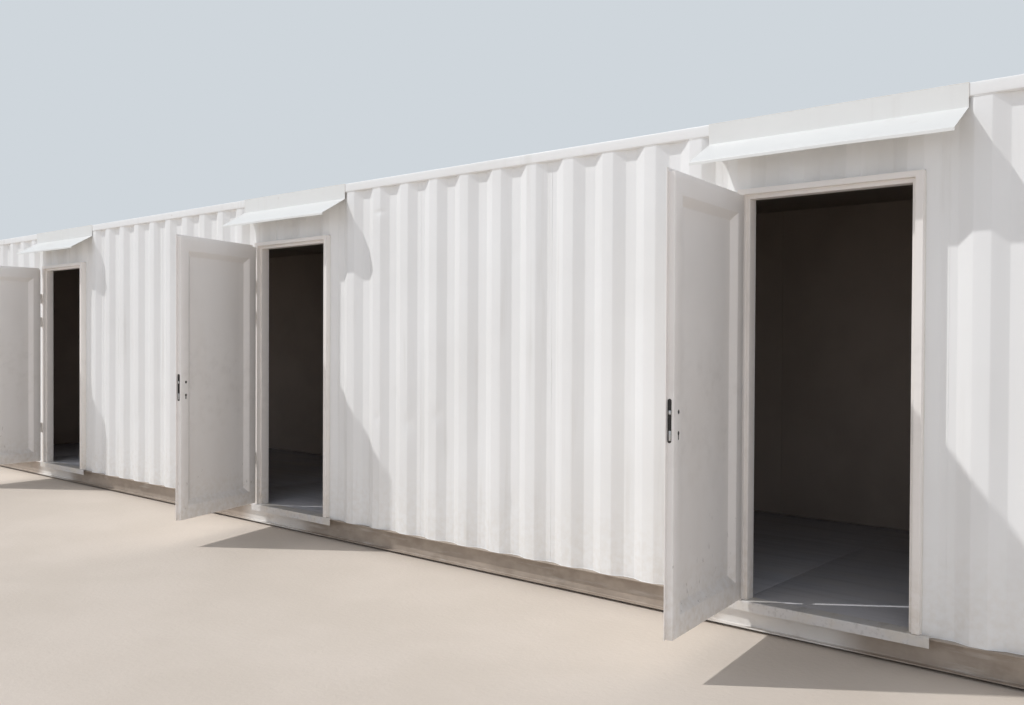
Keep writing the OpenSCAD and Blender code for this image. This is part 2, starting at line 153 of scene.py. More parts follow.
SPATTER_MM = 35
SPATTER = pattern(SPATTER_MM, 0.3, 0.75, detail=6.0)
print("spattered dust lies in spots of", SPATTER_MM, "mm")


# %% Layers
PAINT_IOR = 1.5


def finish(name, pigment, roughness, layers, relief, depth_mm, gloss=None, metallic=0.0):
    """A material: layers of (colour, share, masks...) over the pigment, a relief of that depth
    and, where given, a gloss as (mask, roughness where 0, roughness where 1)."""
    material = bpy.data.materials.new(name)
    material.use_nodes = True
    tree = material.node_tree
    shader = tree.nodes["Principled BSDF"]
    shader.inputs["Roughness"].default_value = roughness
    shader.inputs["Metallic"].default_value = metallic
    if not metallic:
        shader.inputs["IOR"].default_value = PAINT_IOR
    place = add(tree, "TexCoord").outputs["Object"]
    colour = linear(pigment)
    for above, cover, *masks in layers:
        for mask in masks:
            cover = add(tree, "Math", {0: mask(tree, place), 1: cover},
                        operation="MULTIPLY").outputs[0]
        # Sockets 0, 6 and 7 of a colour Mix are its factor and its two colours, 2 is the result
        colour = add(tree, "Mix", {0: cover, 6: colour, 7: linear(above)},
                     data_type="RGBA").outputs[2]
    tree.links.new(colour, shader.inputs["Base Color"])
    raised = add(tree, "Bump", {"Height": relief(tree, place), "Distance": depth_mm * MM,
                                "Strength": 1.0})
    tree.links.new(raised.outputs["Normal"], shader.inputs["Normal"])
    if gloss:
        mask, smooth, rough = gloss
        uneven = add(tree, "MapRange", {"Value": mask(tree, place), "To Min": smooth,
                                        "To Max": rough})
        tree.links.new(uneven.outputs["Result"], shader.inputs["Roughness"])
    return material


print("paints and boards refract by", PAINT_IOR)

# %% [markdown]
# ## Enamel-painted steel
#
# Walls, rails, posts, roof and canopies are steel sheet under a sprayed white enamel. Sprayed
# enamel dries with an orange-peel skin whose cells are one to three millimetres wide. That is
# finer than a pixel here, so it is drawn at six. The paint is satin: broad soft highlights, an
# IOR of 1.5. Where steel was welded or scraped the coat breaks and rust weeps out in specks.

# %% Enamel-painted steel
WHITE, WHITE_SHADE = "#f3f3f2", "#dedcd8"
GROUND_DUST, RUST = "#c9b99f", "#8a5230"


def enamel_painted_steel(name, pigment=WHITE, dust=0.22, rust=0.0, roughness=0.42):
    """Sprayed satin enamel with clouds, rain streaks, ground dust and rust specks."""
    layers = [
        (WHITE_SHADE, 0.25, pattern(900, 0.35, 0.75)),
        (WHITE_SHADE, 0.45, pattern(60, 0.52, 0.74, (1, 1, 0.05), 4.0), pattern(1300, 0.42, 0.62)),
        (GROUND_DUST, dust, by_height(0.75, 0.0), SPATTER)]
    if rust:
        layers.append((RUST, rust, spots(160, 0.10, 0.02), pattern(420, 0.50, 0.62)))
    return finish(name, pigment, roughness, layers, pattern(6, 0.2, 0.8), 0.05,
                  (pattern(240, 0.3, 0.7, detail=4.0), roughness - 0.06, roughness + 0.1))


wall_enamel = enamel_painted_steel("wall_enamel_on_steel")
rail_enamel = enamel_painted_steel("rail_enamel_on_steel", dust=0.2, rust=0.7)
# The canopies' white is set darker than the walls' so that their lit slopes don't clip: painted
# shade
painted_shade_canopy_enamel = enamel_painted_steel("canopy_enamel_on_steel", "#e9e9e6", 0.1, 0.3, 0.36)
casting_enamel = enamel_painted_steel("casting_enamel_on_cast_steel", "#dedbd5", 0.6, 0.9, 0.5)
print("enamels:", [m.name for m in bpy.data.materials if "enamel" in m.name])

# %% [markdown]
# ## Door enamel
#
# Leaves and frames are brushed and rolled with an off-white enamel, a little warmer and glossier
# than the walls. Hands leave a grey haze at the height of the lock, shoes leave dark scuffs low
# down, and no rust shows yet. The scuffs are a noise drawn out along the height.

# %% Door enamel
def door_enamel_on_steel(name, pigment, scuffs):
    """Rolled off-white enamel with a hand haze, low scuffs and ground dust."""
    layers = [
        ("#ebe4dd", 0.3, pattern(300, 0.35, 0.7, (1, 1, 0.4))),
        ("#b9b1a8", 0.12, by_height(0.55, 1.0), by_height(1.65, 1.25),
         pattern(70, 0.45, 0.75, detail=5.0)),
        ("#7d746b", scuffs, by_height(0.95, 0.25), pattern(16, 0.64, 0.70, (1, 1, 0.3), 5.0),
         pattern(180, 0.5, 0.62)),
        (GROUND_DUST, 0.4, by_height(0.6, 0.1), SPATTER)]
    return finish(name, pigment, 0.38, layers, pattern(7, 0.2, 0.8, (1, 1, 0.5)), 0.05,
                  (pattern(150, 0.3, 0.7, detail=4.0), 0.32, 0.5))


leaf_enamel = door_enamel_on_steel("leaf_enamel_on_steel", "#f8f4f0", 0.55)
frame_enamel = door_enamel_on_steel("frame_enamel_on_steel", "#f6f1ec", 0.4)
print("door enamels:", leaf_enamel.name, frame_enamel.name)

# %% [markdown]
# ## Primed rail steel
#
# The bottom rails and the members under the floor kept their beige grey primer. Dust lies on it,
# and the enamel's overspray drifts over it in long pale smears, thickest under the hinge side of
# each doorway, where leaf and frame were sprayed. Under the floor the same primer is greyer and
# rough with splashed soil.

# %% Primed steel
OVERSPRAY = "#e6e2dc"
PALE_BESIDE, PALE_REACH, PALE_CORE = 0.22, 0.50, 0.25


def primed_steel(name, primer, stain, dust, share, pale_at=()):
    """Matt primer with stains, a dust film and overspray, thicker round the given places."""
    layers = [
        (stain, 0.55, pattern(500, 0.4, 0.7, (0.5, 1, 1), 4.0)),
        (dust, share, pattern(60, 0.35, 0.7, (0.6, 1, 1), 6.0)),
        (OVERSPRAY, 0.35, pattern(45, 0.55, 0.72, (0.12, 1, 1), 5.0))]
    layers += [(OVERSPRAY, 0.9, beside(x, PALE_REACH, PALE_CORE),
                pattern(90, 0.1, 0.5, (0.5, 1, 1), 5.0)) for x in pale_at]
    return finish(name, primer, 0.62, layers, pattern(9, 0.3, 0.7, detail=4.0), 0.12)


pale_places = [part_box(f"threshold_{n}")[0].x + PALE_BESIDE for n in (1, 2, 3)]
rail_primer = primed_steel("primed_rail_steel", "#a89a8c", "#887b6d", "#bdb0a2", 0.5,
                           pale_places)
under_primer = primed_steel("primed_steel_under_floor", "#8d867b", "#746d63", "#a39583", 0.6)
print("overspray thickest at", [round(x, 2) for x in pale_places])

# %% [markdown]
# ## Threshold steel, floor paint and plaster board
#
# Boots carry grit over the threshold: its grey paint is dusty, scratched along the way in and
# spotted with wall paint. The floor is plywood under grey floor paint, with streaks along the
# cabin where it was swept. The lining is plaster board, matt, with slow clouds from the roller.
# The ceiling's board is a darker tone: painted shade for the dark band under the roof.

# %% Threshold, floor and board
threshold_steel = finish("worn_threshold_steel", "#d6d3d0", 0.5, [
    ("#aeaaa6", 0.5, pattern(25, 0.5, 0.68, (1, 0.2, 1), 6.0)),
    ("#d8d0c3", 0.6, pattern(110, 0.42, 0.66, detail=5.0)),
    (WHITE, 0.9, spots(55, 0.12, 0.07), pattern(150, 0.52, 0.6))],
    pattern(8, 0.3, 0.7, detail=5.0), 0.12)
floor_paint = finish("floor_paint_on_plywood", "#cacacf", 0.55, [
    ("#acacb0", 0.5, pattern(55, 0.42, 0.70, (0.06, 1, 1), 6.0)),
    ("#d2ccc6", 0.4, pattern(380, 0.40, 0.68, (0.5, 1, 1), 5.0))],
    pattern(5, 0.3, 0.7, (0.08, 1, 1)), 0.1)


def plaster_board(name, tone, cloud):
    """Matt painted board with slow clouds and the fine stipple of a roller."""
    return finish(name, tone, 0.85, [(cloud, 0.4, pattern(500, 0.35, 0.7, detail=4.0))],
                  pattern(4, 0.3, 0.7), 0.06)


wall_board = plaster_board("plaster_board_wall", "#b3a69b", "#9c9084")
# The ceiling board's darker tone is painted shade, standing for the dark band under the roof
painted_shade_ceiling_board = plaster_board("plaster_board_ceiling_painted_shade", "#978c82", "#897e74")
print("inside finishes:", floor_paint.name, wall_board.name, painted_shade_ceiling_board.name)

# %% [markdown]
# ## Lock metal, hinge metal and sealant
#
# The lock's face plate is blackened steel, with a latch and a bolt of bright zinc plate. Zinc
# plate is a metal, so its colour is its reflection, brushed along its length. Real brush lines
# are a tenth of a millimetre apart, and these are drawn ten times coarser. Blackening is a thin
# oxide with a dull oily shine. Sealant is soft, smooth and a little yellow with age.

# %% Metals and sealant
BRUSH_LINES = pattern(1, 0.3, 0.7, (1, 1, 0.02))
zinc = finish("zinc_plated_steel", "#cfd0d1", 0.3, [
    ("#77736c", 0.35, pattern(25, 0.45, 0.8, detail=4.0))],
    BRUSH_LINES, 0.02, (BRUSH_LINES, 0.22, 0.42), metallic=1.0)
# The same black also colours the lock case behind the leaf's holes, as painted shade for their
# dark insides
lock_black_and_painted_shade = finish("blackened_steel_and_painted_shade", "#211f1e", 0.42, [
    ("#4d4946", 0.4, pattern(12, 0.55, 0.75, detail=5.0))], pattern(2, 0.3, 0.7), 0.02)
sealant = finish("joint_sealant", "#eceae5", 0.5, [
    ("#d8d2c5", 0.4, pattern(80, 0.4, 0.7, detail=4.0))], pattern(14, 0.3, 0.7), 0.2)
print("metals and sealant:", zinc.name, lock_black_and_painted_shade.name, sealant.name)

# %% [markdown]
# ## From points to pieces
#
# Nearly everything here is a bent sheet, a bar or a bead. A sheet is drawn as a fold line: the
# path of its outer face, seen from the end. `bend` rounds each corner as a press brake does,
# `divide` adds points so that a dent has something to push, and `folded_sheet` gives the path a
# thickness and draws it out along the third direction. A subdivision surface could round the
# folds too, but a real bend has one known radius, and this way keeps the sheet's true size.

# %% Paths
# A bend takes up at most this share of the stretch before and after it
BEND_SHARE = 0.45


def bend(path, radius, steps=3):
    """The path with each inner corner rounded to about that radius."""
    rounded = [Vector(path[0])]
    for before, corner, after in zip(path, path[1:], path[2:]):
        before, corner, after = Vector(before), Vector(corner), Vector(after)
        turn = (corner - before).angle(after - corner)
        reach = min(radius * math.tan(turn / 2), BEND_SHARE * (corner - before).length,
                    BEND_SHARE * (after - corner).length)
        start = corner + (before - corner).normalized() * reach
        end = corner + (after - corner).normalized() * reach
        for step in range(steps + 1):
            t = step / steps
            rounded.append(start * (1 - t) ** 2 + corner * (2 * t * (1 - t)) + end * t ** 2)
    return rounded + [Vector(path[-1])]


def divide(path, longest):
    """The path with points added so that no stretch is longer than that."""
    points = [Vector(path[0])]
    for start, end in zip(path, path[1:]):
        start, end = Vector(start), Vector(end)
        count = max(1, math.ceil((end - start).length / longest))
        points += [start.lerp(end, i / count) for i in range(1, count + 1)]
    return points


def offset(path, distance):
    """The path moved sideways, to the left of its own direction."""
    moved = []
    for i, point in enumerate(path):
        ahead = path[min(i + 1, len(path) - 1)] - path[max(i - 1, 0)]
        moved.append(point + Vector((-ahead.y, ahead.x)).normalized() * distance)
    return moved


def steps_between(low, high, longest):
    """Even places from low to high, no further apart than longest."""
    count = max(1, math.ceil((high - low) / longest))
    return [low + (high - low) * i / count for i in range(count + 1)]


print("a square corner becomes", len(bend([(0, 0), (1, 0), (1, 1)], 0.005)) - 2, "points")


def rounded_section(low, high, radius):
    """The closed outline of a rectangle with rounded corners, starting half way along a side."""
    (u0, v0), (u1, v1) = low, high
    middle = (u0 + u1) / 2
    corners = [(middle, v0), (u1, v0), (u1, v1), (u0, v1), (u0, v0), (middle, v0)]
    return bend(corners, radius)[:-1]


# %% Skins
def skin(rings):
    """Points and faces of a closed body drawn over rings with equal numbers of points."""
    size, last = len(rings[0]), (len(rings) - 1) * len(rings[0])
    faces = []
    for first in range(0, last, size):
        for i in range(size):
            j = (i + 1) % size
            faces.append((first + i, first + j, first + size + j, first + size + i))
    faces.append(tuple(range(size)))
    faces.append(tuple(last + i for i in range(size)))
    return [p for ring in rings for p in ring], faces


def folded_sheet(path, thickness, stations, place):
    """A sheet along its path, drawn over the stations; place turns (u, v, s) into a point."""
    outer = [Vector(p) for p in path]
    loop = outer + offset(outer, thickness)[::-1]
    points, faces = skin([[place(p.x, p.y, s) for p in loop] for s in stations])
    # The two ends are strips of four-sided faces instead of one many-sided face
    faces = faces[:-2]
    for first in (0, (len(stations) - 1) * len(loop)):
        for i in range(len(outer) - 1):
            faces.append((first + i, first + i + 1,
                          first + len(loop) - 2 - i, first + len(loop) - 1 - i))
    return points, faces


print("a square bar is a skin of", len(skin([range(4), range(4)])[1]), "faces")


# %% Bars, lathe parts and beads
# How much a bead swells, as a share of its radius, and how often in a metre
BEAD_SWELL, BEAD_RATE = 0.35, 60


def bar(low, high, radius=0.0015, steps=2):
    """A block from one corner to the other with all its edges rounded."""
    low, high = Vector(low), Vector(high)
    work = bmesh.new()
    bmesh.ops.create_cube(work, size=1)
    for vertex in work.verts:
        vertex.co = Vector([b if c > 0 else a for a, b, c in zip(low, high, vertex.co)])
    bmesh.ops.bevel(work, geom=work.edges[:], offset=radius, segments=steps, profile=0.5,
                    affect="EDGES")
    work.verts.index_update()
    made = [v.co.copy() for v in work.verts], [[v.index for v in f.verts] for f in work.faces]
    work.free()
    return made


def turned(profile, centre, sides=32):
    """A lathe part: pairs of radius and height, turned round the upright line at centre."""
    rings = []
    for radius, height in profile:
        angles = [2 * math.pi * i / sides for i in range(sides)]
        rings.append([Vector(centre) + Vector((radius * math.cos(a), radius * math.sin(a),
                                               height)) for a in angles])
    return skin(rings)


def bead(path, radius, sides=6):
    """A weld or sealant bead along a line, swelling and shrinking a little."""
    rings = []
    for i, point in enumerate(path):
        ahead = (path[min(i + 1, len(path) - 1)] - path[max(i - 1, 0)]).normalized()
        side = ahead.orthogonal().normalized()
        up = ahead.cross(side)
        swell = radius * (1 + BEAD_SWELL * noise.noise(point * BEAD_RATE))
        angles = [2 * math.pi * k / sides for k in range(sides)]
        rings.append([point + (side * math.cos(a) + up * math.sin(a)) * swell for a in angles])
    return skin(rings)


def flipped(parts, *axes):
    """The same parts on the other side of the cabin's middle, across the given axes."""
    signs = Vector([-1 if axis in axes else 1 for axis in range(3)])
    return [([Vector(p) * signs for p in points], faces) for points, faces in parts]


print("a rounded bar has", len(bar((0, 0, 0), (0.1, 0.1, 0.1))[1]), "faces")


# %% Objects
SHARP = math.radians(38)


def mesh_of(name, parts, material, place=None):
    """A mesh from parts, faces outward, shaded smooth except at sharp edges."""
    points, faces = [], []
    for part_points, part_faces in parts:
        first = len(points)
        points += [tuple(p) for p in part_points]
        faces += [tuple(first + i for i in face) for face in part_faces]
    mesh = bpy.data.meshes.new(name)
    mesh.from_pydata(points, [], faces)
    mesh.materials.append(material)
    work = bmesh.new()
    work.from_mesh(mesh)
    bmesh.ops.recalc_face_normals(work, faces=work.faces)
    work.to_mesh(mesh)
    work.free()
    if place is not None:
        mesh.transform(place)
    mesh.shade_smooth()
    mesh.set_sharp_from_angle(angle=SHARP)
    return mesh


def piece(name, parts, material, replaced=(), body="cabin", place=None):
    """One object made of parts, on its body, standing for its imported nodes."""
    made = bpy.data.objects.new(name, mesh_of(name, parts, material, place))
    bpy.context.scene.collection.objects.link(made)
    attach(made, body)
    if replaced:
        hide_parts(*replaced)
    return made


def cut(made, cutters):
    """The object's mesh with the cutters' parts taken out of it."""
    tool = bpy.data.objects.new("cutter", mesh_of("cutter", cutters, made.data.materials[0]))
    bpy.context.scene.collection.objects.link(tool)
    knife = made.modifiers.new("cut", "BOOLEAN")
    knife.object = tool
    knife.operation = "DIFFERENCE"
    knife.solver = "EXACT"
    knife.use_self = True
    shape = made.evaluated_get(bpy.context.evaluated_depsgraph_get())
    result = bpy.data.meshes.new_from_object(shape)
    made.modifiers.clear()
    made.data = result
    bpy.data.objects.remove(tool)
    result.shade_smooth()
    result.set_sharp_from_angle(angle=SHARP)
    return made


print("edges sharper than", round(math.degrees(SHARP)), "degrees stay crisp")

# %% [markdown]
# ## The cabin's measures
#
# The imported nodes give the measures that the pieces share: the castings' outer faces, the rails'
# ends and the floor. The doorways come from the thresholds, which lie evenly on both sides of
# them, and the hinge pins from the joints.

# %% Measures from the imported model
half_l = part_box("corner_castings_bottom")[1].x
half_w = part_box("corner_castings_bottom")[1].y
front = -half_w
rail_low, rail_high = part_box("top_rail_front")
floor_low, floor_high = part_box("floor")
floor_top = floor_high.z
rail_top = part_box("bottom_rail_front")[1].z
inner_l = rail_high.x
inner_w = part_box("end_headers")[1].y
head_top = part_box("door_header_1")[0].z
lining_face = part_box("lining_front")[1].y
lining_back_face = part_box("lining_front")[0].y
ceiling_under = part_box("ceiling")[0].z

SILL_OVER = 0.096
STOP_W = 0.020
FRAME_FACE = 0.035
doors = []
for number in (1, 2, 3):
    sill_low, sill_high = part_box(f"threshold_{number}")
    hinge = [j for j in frame["joints"] if j["name"] == f"door_{number}_hinge"][0]
    doors.append({"number": number, "x": (sill_low.x + sill_high.x) / 2,
                  "half": (sill_high.x - sill_low.x) / 2 - SILL_OVER,
                  "pin": Vector(hinge["pos_m"]), "open": hinge["range_deg"][1]})
hole_half = doors[0]["half"] + STOP_W
frame_half = hole_half + FRAME_FACE
print("doorways at", [round(d["x"], 3) for d in doors], "open by", [d["open"] for d in doors])

# %% [markdown]
# ## Waved wall sheets
#
# Each wall is two millimetre sheet, pressed into waves 278 mm long and 30 mm deep, which is what
# makes so thin a wall stiff. The presses round every fold to about 25 mm. Real sheets carry a
# few years of knocks: here a slow ripple of about a millimetre, and some dents as soft hollows
# that push the sheet inward. An array of one wave would repeat the same dent everywhere, so the
# whole sheet is drawn in one go, with more rows and columns where a dent needs them.

# %% Wave shape
WAVE, OUTER_FLAT, SLOPE_RUN, WAVE_DEPTH = 0.278, 0.072, 0.068, 0.030
SHEET, WALL_IN, PRESS_RADIUS = 0.002, 0.005, 0.025
ROOF_WAVE, ROOF_FLAT, ROOF_RUN, ROOF_DEPTH = 0.209, 0.091, 0.018, 0.020


def wave_depth(x, wave=WAVE, flat=OUTER_FLAT, run=SLOPE_RUN, depth=WAVE_DEPTH):
    """How far the sheet's face lies behind its outer flats at a place along it."""
    away = abs(x - wave * round(x / wave)) - flat / 2
    return depth * min(max(away / run, 0), 1)


def wave_path(start, end, wave=WAVE, flat=OUTER_FLAT, run=SLOPE_RUN, depth=WAVE_DEPTH):
    """The corners of a waved sheet's outer face, as (place along, depth)."""
    places = [start]
    for k in range(math.floor(start / wave), math.ceil(end / wave) + 1):
        for fold in (-flat / 2 - run, -flat / 2, flat / 2, flat / 2 + run):
            if start + MM / 2 < k * wave + fold < end - MM / 2:
                places.append(k * wave + fold)
    places.append(end)
    return [Vector((x, wave_depth(x, wave, flat, run, depth))) for x in places]


def with_places(path, extra):
    """The path with a point added at each extra place along it that lies between its ends."""
    points = list(path)
    for x in extra:
        for i in range(len(points) - 1):
            a, b = points[i], points[i + 1]
            if a.x + 2 * MM < x < b.x - 2 * MM:
                points.insert(i + 1, a.lerp(b, (x - a.x) / (b.x - a.x)))
                break
    return points


def with_rows(rows, extra):
    """The rows with extra ones added, none closer than 4 mm to its neighbour."""
    low, high = rows[0], rows[-1]
    for z in extra:
        if low < z < high and min(abs(z - row) for row in rows) > 4 * MM:
            rows = sorted(rows + [z])
    return rows


print("one wave has corners at", [round(p.x, 3) for p in wave_path(0, WAVE)])


# %% Dents
# Place along the wall, height, half width, half height and depth of each dent, all in metres.
FRONT_DENTS = [
    (1.150, 0.906, 0.032, 0.060, 0.0070),
    (1.430, 0.969, 0.024, 0.050, 0.0060),
    (0.845, 0.923, 0.028, 0.034, 0.0045),
    (2.080, 0.470, 0.040, 0.050, 0.0050),
    (0.859, 2.353, 0.040, 0.018, 0.0055),
    (2.090, 2.000, 0.036, 0.060, 0.0025),
    (1.010, 1.090, 0.022, 0.040, 0.0040),
    (2.350, 1.240, 0.050, 0.090, 0.0020),
    (-2.480, 0.700, 0.030, 0.050, 0.0050),
    (-1.390, 1.320, 0.036, 0.060, 0.0040),
    (5.280, 1.050, 0.034, 0.060, 0.0050),
    (-5.300, 0.880, 0.036, 0.050, 0.0050),
]
BACK_DENTS = [
    (-4.450, 1.150, 0.060, 0.110, 0.0110),
    (-2.500, 0.620, 0.045, 0.060, 0.0080),
    (-0.556, 1.700, 0.040, 0.080, 0.0060),
    (1.112, 0.800, 0.050, 0.060, 0.0090),
    (2.919, 1.310, 0.060, 0.100, 0.0070),
    (4.860, 0.560, 0.045, 0.050, 0.0080),
]
END_DENTS = [
    (-0.556, 0.850, 0.045, 0.070, 0.0090),
    (0.278, 1.420, 0.050, 0.090, 0.0070),
    (0.695, 0.520, 0.034, 0.050, 0.0080),
]
print("dents in front, behind and at each end:",
      [len(dents) for dents in (FRONT_DENTS, BACK_DENTS, END_DENTS)])


# %% Rippled and dented walls
# Height in millimetres, ripples per metre along and up, and step of the seed
RIPPLES = [(0.8, 1.3, 0.9, 0), (0.5, 5.0, 1.6, 9)]
STIFF_SIDE, STIFF_END, COLUMN = 0.06, 0.12, 0.036


def push_in(x, z, dents, edges, seed):
    """How far the sheet is pushed in at a place, fading out at its welded edges."""
    ripple = sum(height * noise.noise(Vector((x * along, z * up, seed + step)))
                 for height, along, up, step in RIPPLES)
    (x0, z0), (x1, z1) = edges
    fade = min(1, min(x - x0, x1 - x) / STIFF_SIDE, min(z - z0, z1 - z) / STIFF_END)
    hollow = 0
    for dent_x, dent_z, half_x, half_z, depth in dents:
        far = ((x - dent_x) / half_x) ** 2 + ((z - dent_z) / half_z) ** 2
        hollow += depth * math.exp(-far)
    return (ripple * MM + hollow) * max(fade, 0)


def waved_wall(start, end, low, high, side, dents, row, seed):
    """A waved sheet from start to end and low to high; side places (along, depth, height)."""
    near = [d for d in dents if start < d[0] < end and low < d[1] < high]
    columns = [x + half * s for x, _, half, _, _ in near for s in (-1, -0.5, 0, 0.5, 1)]
    rows = [z + half * s for _, z, _, half, _ in near for s in (-1.5, -1, -0.5, 0, 0.5, 1, 1.5)]
    path = with_places(divide(bend(wave_path(start, end), PRESS_RADIUS), COLUMN), columns)
    edges = (start, low), (end, high)

    def place(along, depth, height):
        return side(along, depth + push_in(along, height, near, edges, seed), height)

    return folded_sheet(path, SHEET, with_rows(steps_between(low, high, row), rows), place)


def on_front(along, depth, height):
    return Vector((along, front + WALL_IN + depth, height))


def on_back(along, depth, height):
    return Vector((along, -front - WALL_IN - depth, height))


def on_left(along, depth, height):
    return Vector((-half_l + WALL_IN + depth, along, height))


def on_right(along, depth, height):
    return Vector((half_l - WALL_IN - depth, along, height))


print("ripples of up to", sum(ripple[0] for ripple in RIPPLES), "mm")


# %% [markdown]
# ## Front wall
#
# The front wall is four sheets beside the doorways. Each is welded along its foot to the bottom
# rail and along its head to the top rail, with a bead that follows the waves, and it is sealed
# to the door frames. Sheets are four waves wide, so an upright butt weld, ground nearly flush,
# shows on every fourth inner flat.

# %% Front wall sheets
WELD, SEAM, SEAL = 0.0025, 0.0008, 0.0025
FRONT_ROW, HEADER_ROW, BACK_ROW, END_ROW = 0.045, 0.03, 0.08, 0.06
SEAM_CLEAR = 0.05


def foot_and_head_welds(start, end, low, high, side):
    """Weld beads along a waved sheet's foot and head."""
    path = bend(wave_path(start, end), PRESS_RADIUS, 2)
    beads = []
    for height in (low, high):
        inward = WELD / 2 if height == low else -WELD / 2
        beads.append(bead([side(p.x, p.y, height + inward) for p in path], WELD, 5))
    return beads


def seam_welds(start, end, low, high, side, first_seam):
    """Upright butt welds on every fourth inner flat."""
    seams = []
    for k in range(-12, 13):
        x = first_seam + 4 * WAVE * k
        if start + SEAM_CLEAR < x < end - SEAM_CLEAR:
            line = [side(x, WAVE_DEPTH - SEAM / 3, z) for z in steps_between(low, high, 0.03)]
            seams.append(bead(line, SEAM, 5))
    return seams


FRONT_SEAM = 4.5 * WAVE
spans = []
left_edge = -inner_l
for door in doors:
    spans.append((left_edge, door["x"] - frame_half))
    left_edge = door["x"] + frame_half
spans.append((left_edge, inner_l))

for number, (start, end) in enumerate(spans, 1):
    low, high = rail_top, rail_low.z
    sheet = waved_wall(start, end, low, high, on_front, FRONT_DENTS, FRONT_ROW, 3.0)
    piece(f"front_sheet_{number}", [sheet], wall_enamel,
          [f"front_wall_{number}"])
    welds = foot_and_head_welds(start, end, low, high, on_front)
    welds += seam_welds(start, end, low, high, on_front, FRONT_SEAM)
    piece(f"front_sheet_welds_{number}", welds, wall_enamel)
print("front wall sheets from", [tuple(round(x, 3) for x in span) for span in spans])

# %% [markdown]
# ## Sheets over the doors
#
# Over each doorway a short piece of the same waved sheet closes the wall. It was cut a little
# short, so a dark slit shows between it and the head of the door frame.

# %% Header sheets
SLIT = 0.0035
for door in doors:
    start, end = door["x"] - frame_half, door["x"] + frame_half
    low, high = head_top + SLIT, rail_low.z
    sheet = waved_wall(start, end, low, high, on_front, [], HEADER_ROW, 5.0)
    header_head = foot_and_head_welds(start, end, low, high, on_front)[1:]
    piece(f"header_sheet_{door['number']}", [sheet] + header_head, wall_enamel,
          [f"door_header_{door['number']}"])
print("slit over the door frames:", SLIT)

# %% [markdown]
# ## Back wall and ends
#
# The sides that the doors don't interrupt are plain waved sheet from post to post. They have
# taken more knocks in stacks and on trucks than the door side.

# %% Back and end sheets
low, high = rail_top, rail_low.z
back = waved_wall(-inner_l, inner_l, low, high, on_back, BACK_DENTS, BACK_ROW, 11.0)
piece("back_sheet", [back], wall_enamel, ["back_wall"])
back_welds = foot_and_head_welds(-inner_l, inner_l, low, high, on_back)
back_welds += seam_welds(-inner_l, inner_l, low, high, on_back, FRONT_SEAM)
piece("back_sheet_welds", back_welds, wall_enamel)
for name, side, seed in (("left", on_left, 17.0), ("right", on_right, 23.0)):
    sheet = waved_wall(-inner_w, inner_w, low, high, side, END_DENTS, END_ROW, seed)
    welds = foot_and_head_welds(-inner_w, inner_w, low, high, side)
    piece(f"end_sheet_{name}", [sheet] + welds, wall_enamel,
          [f"end_wall_{name}"])
print("back and end sheets up to", round(high, 3))

# %% [markdown]
# ## Roof
#
# The roof sheet's waves run across the cabin, so that rain drains to both sides. It is flatter
# than a wall. Feet have pressed shallow hollows into it. A flat plate closes each end between
# the corner castings.

# %% Roof sheet and end plates
ROOF_T, PLATE_T, ROOF_PRESS = 0.002, 0.003, 0.008
SAG_MM, STEP_MM, STEP_FROM, STEP_RATE, ROOF_STIFF = 1.5, 3.0, 0.25, 3.3, 0.1
roof_low, roof_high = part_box("roof")
sheet_end = inner_l - MM


def roof_place(along, depth, across):
    sag = SAG_MM * noise.noise(Vector((along * 1.1, across * 1.4, 31.0)))
    feet = noise.noise(Vector((along * STEP_RATE, across * STEP_RATE, 37.0))) - STEP_FROM
    steps = STEP_MM * max(0, feet)
    fade = min(1, (sheet_end - abs(along)) / ROOF_STIFF, (roof_high.y - abs(across)) / ROOF_STIFF)
    drop = (abs(sag) + steps) * MM * max(fade, 0)
    return Vector((along, across, roof_high.z - depth - drop))


roof_path = wave_path(-sheet_end, sheet_end, ROOF_WAVE, ROOF_FLAT, ROOF_RUN, ROOF_DEPTH)
roof_path = divide(bend(roof_path, ROOF_PRESS, 2), 0.05)
across = steps_between(roof_low.y, roof_high.y, 0.11)
roof_sheet = folded_sheet(roof_path, ROOF_T, across, roof_place)
plate = bar((-roof_high.x, -inner_w, roof_high.z - PLATE_T), (-inner_l, inner_w, roof_high.z),
            0.0008)
piece("roof_sheet", [roof_sheet, plate] + flipped([plate], 0), wall_enamel,
      ["roof"])
print("roof waves:", round(2 * sheet_end / ROOF_WAVE, 1))

# %% [markdown]
# ## Rails, posts and castings
#
# Square tubes run along the top edges and round the ends. Welding heat has drawn the front one a
# little in and out, which shows in its highlights. The bottom rails are channels folded from
# plate, open to the outside. The posts are plate folded twice, and the eight corner castings are
# cast steel with rounded edges and the slots that cranes and locks reach into.

# %% Top rails and end headers
TUBE_RADIUS, WELD_DRAW_MM, FACE_DEEP, RAIL_STIFF = 0.006, 0.9, 0.02, 0.1


def top_rail(seed):
    """The square tube along the front's top edge, slightly uneven on its outer face."""
    section = divide(rounded_section((front, rail_low.z), (rail_high.y, rail_high.z),
                                     TUBE_RADIUS), 0.02)
    rings = []
    for x in steps_between(-inner_l, inner_l, 0.06):
        fade = min(1, (inner_l - abs(x)) / RAIL_STIFF)
        ring = []
        for p in section:
            face = 1 - min(1, (p.x - front) / FACE_DEEP)
            draw = WELD_DRAW_MM * abs(noise.noise(Vector((x * 2.2, p.y * 9, seed)))) * face * fade
            ring.append(Vector((x, p.x + draw * MM, p.y)))
        rings.append(ring)
    return skin(rings)


piece("top_tube_front", [top_rail(41.0)], rail_enamel, ["top_rail_front"])
piece("top_tube_back", flipped([top_rail(47.0)], 1), rail_enamel,
      ["top_rail_back"])
tube = rounded_section((-half_l, rail_low.z), (-half_l + (rail_high.y - rail_low.y), rail_high.z),
                       TUBE_RADIUS)
end_tube = skin([[Vector((p.x, y, p.y)) for p in tube] for y in (-inner_w, inner_w)])
piece("end_tubes", [end_tube] + flipped([end_tube], 0), rail_enamel,
      ["end_headers"])
print("top rail section points:", len(tube))

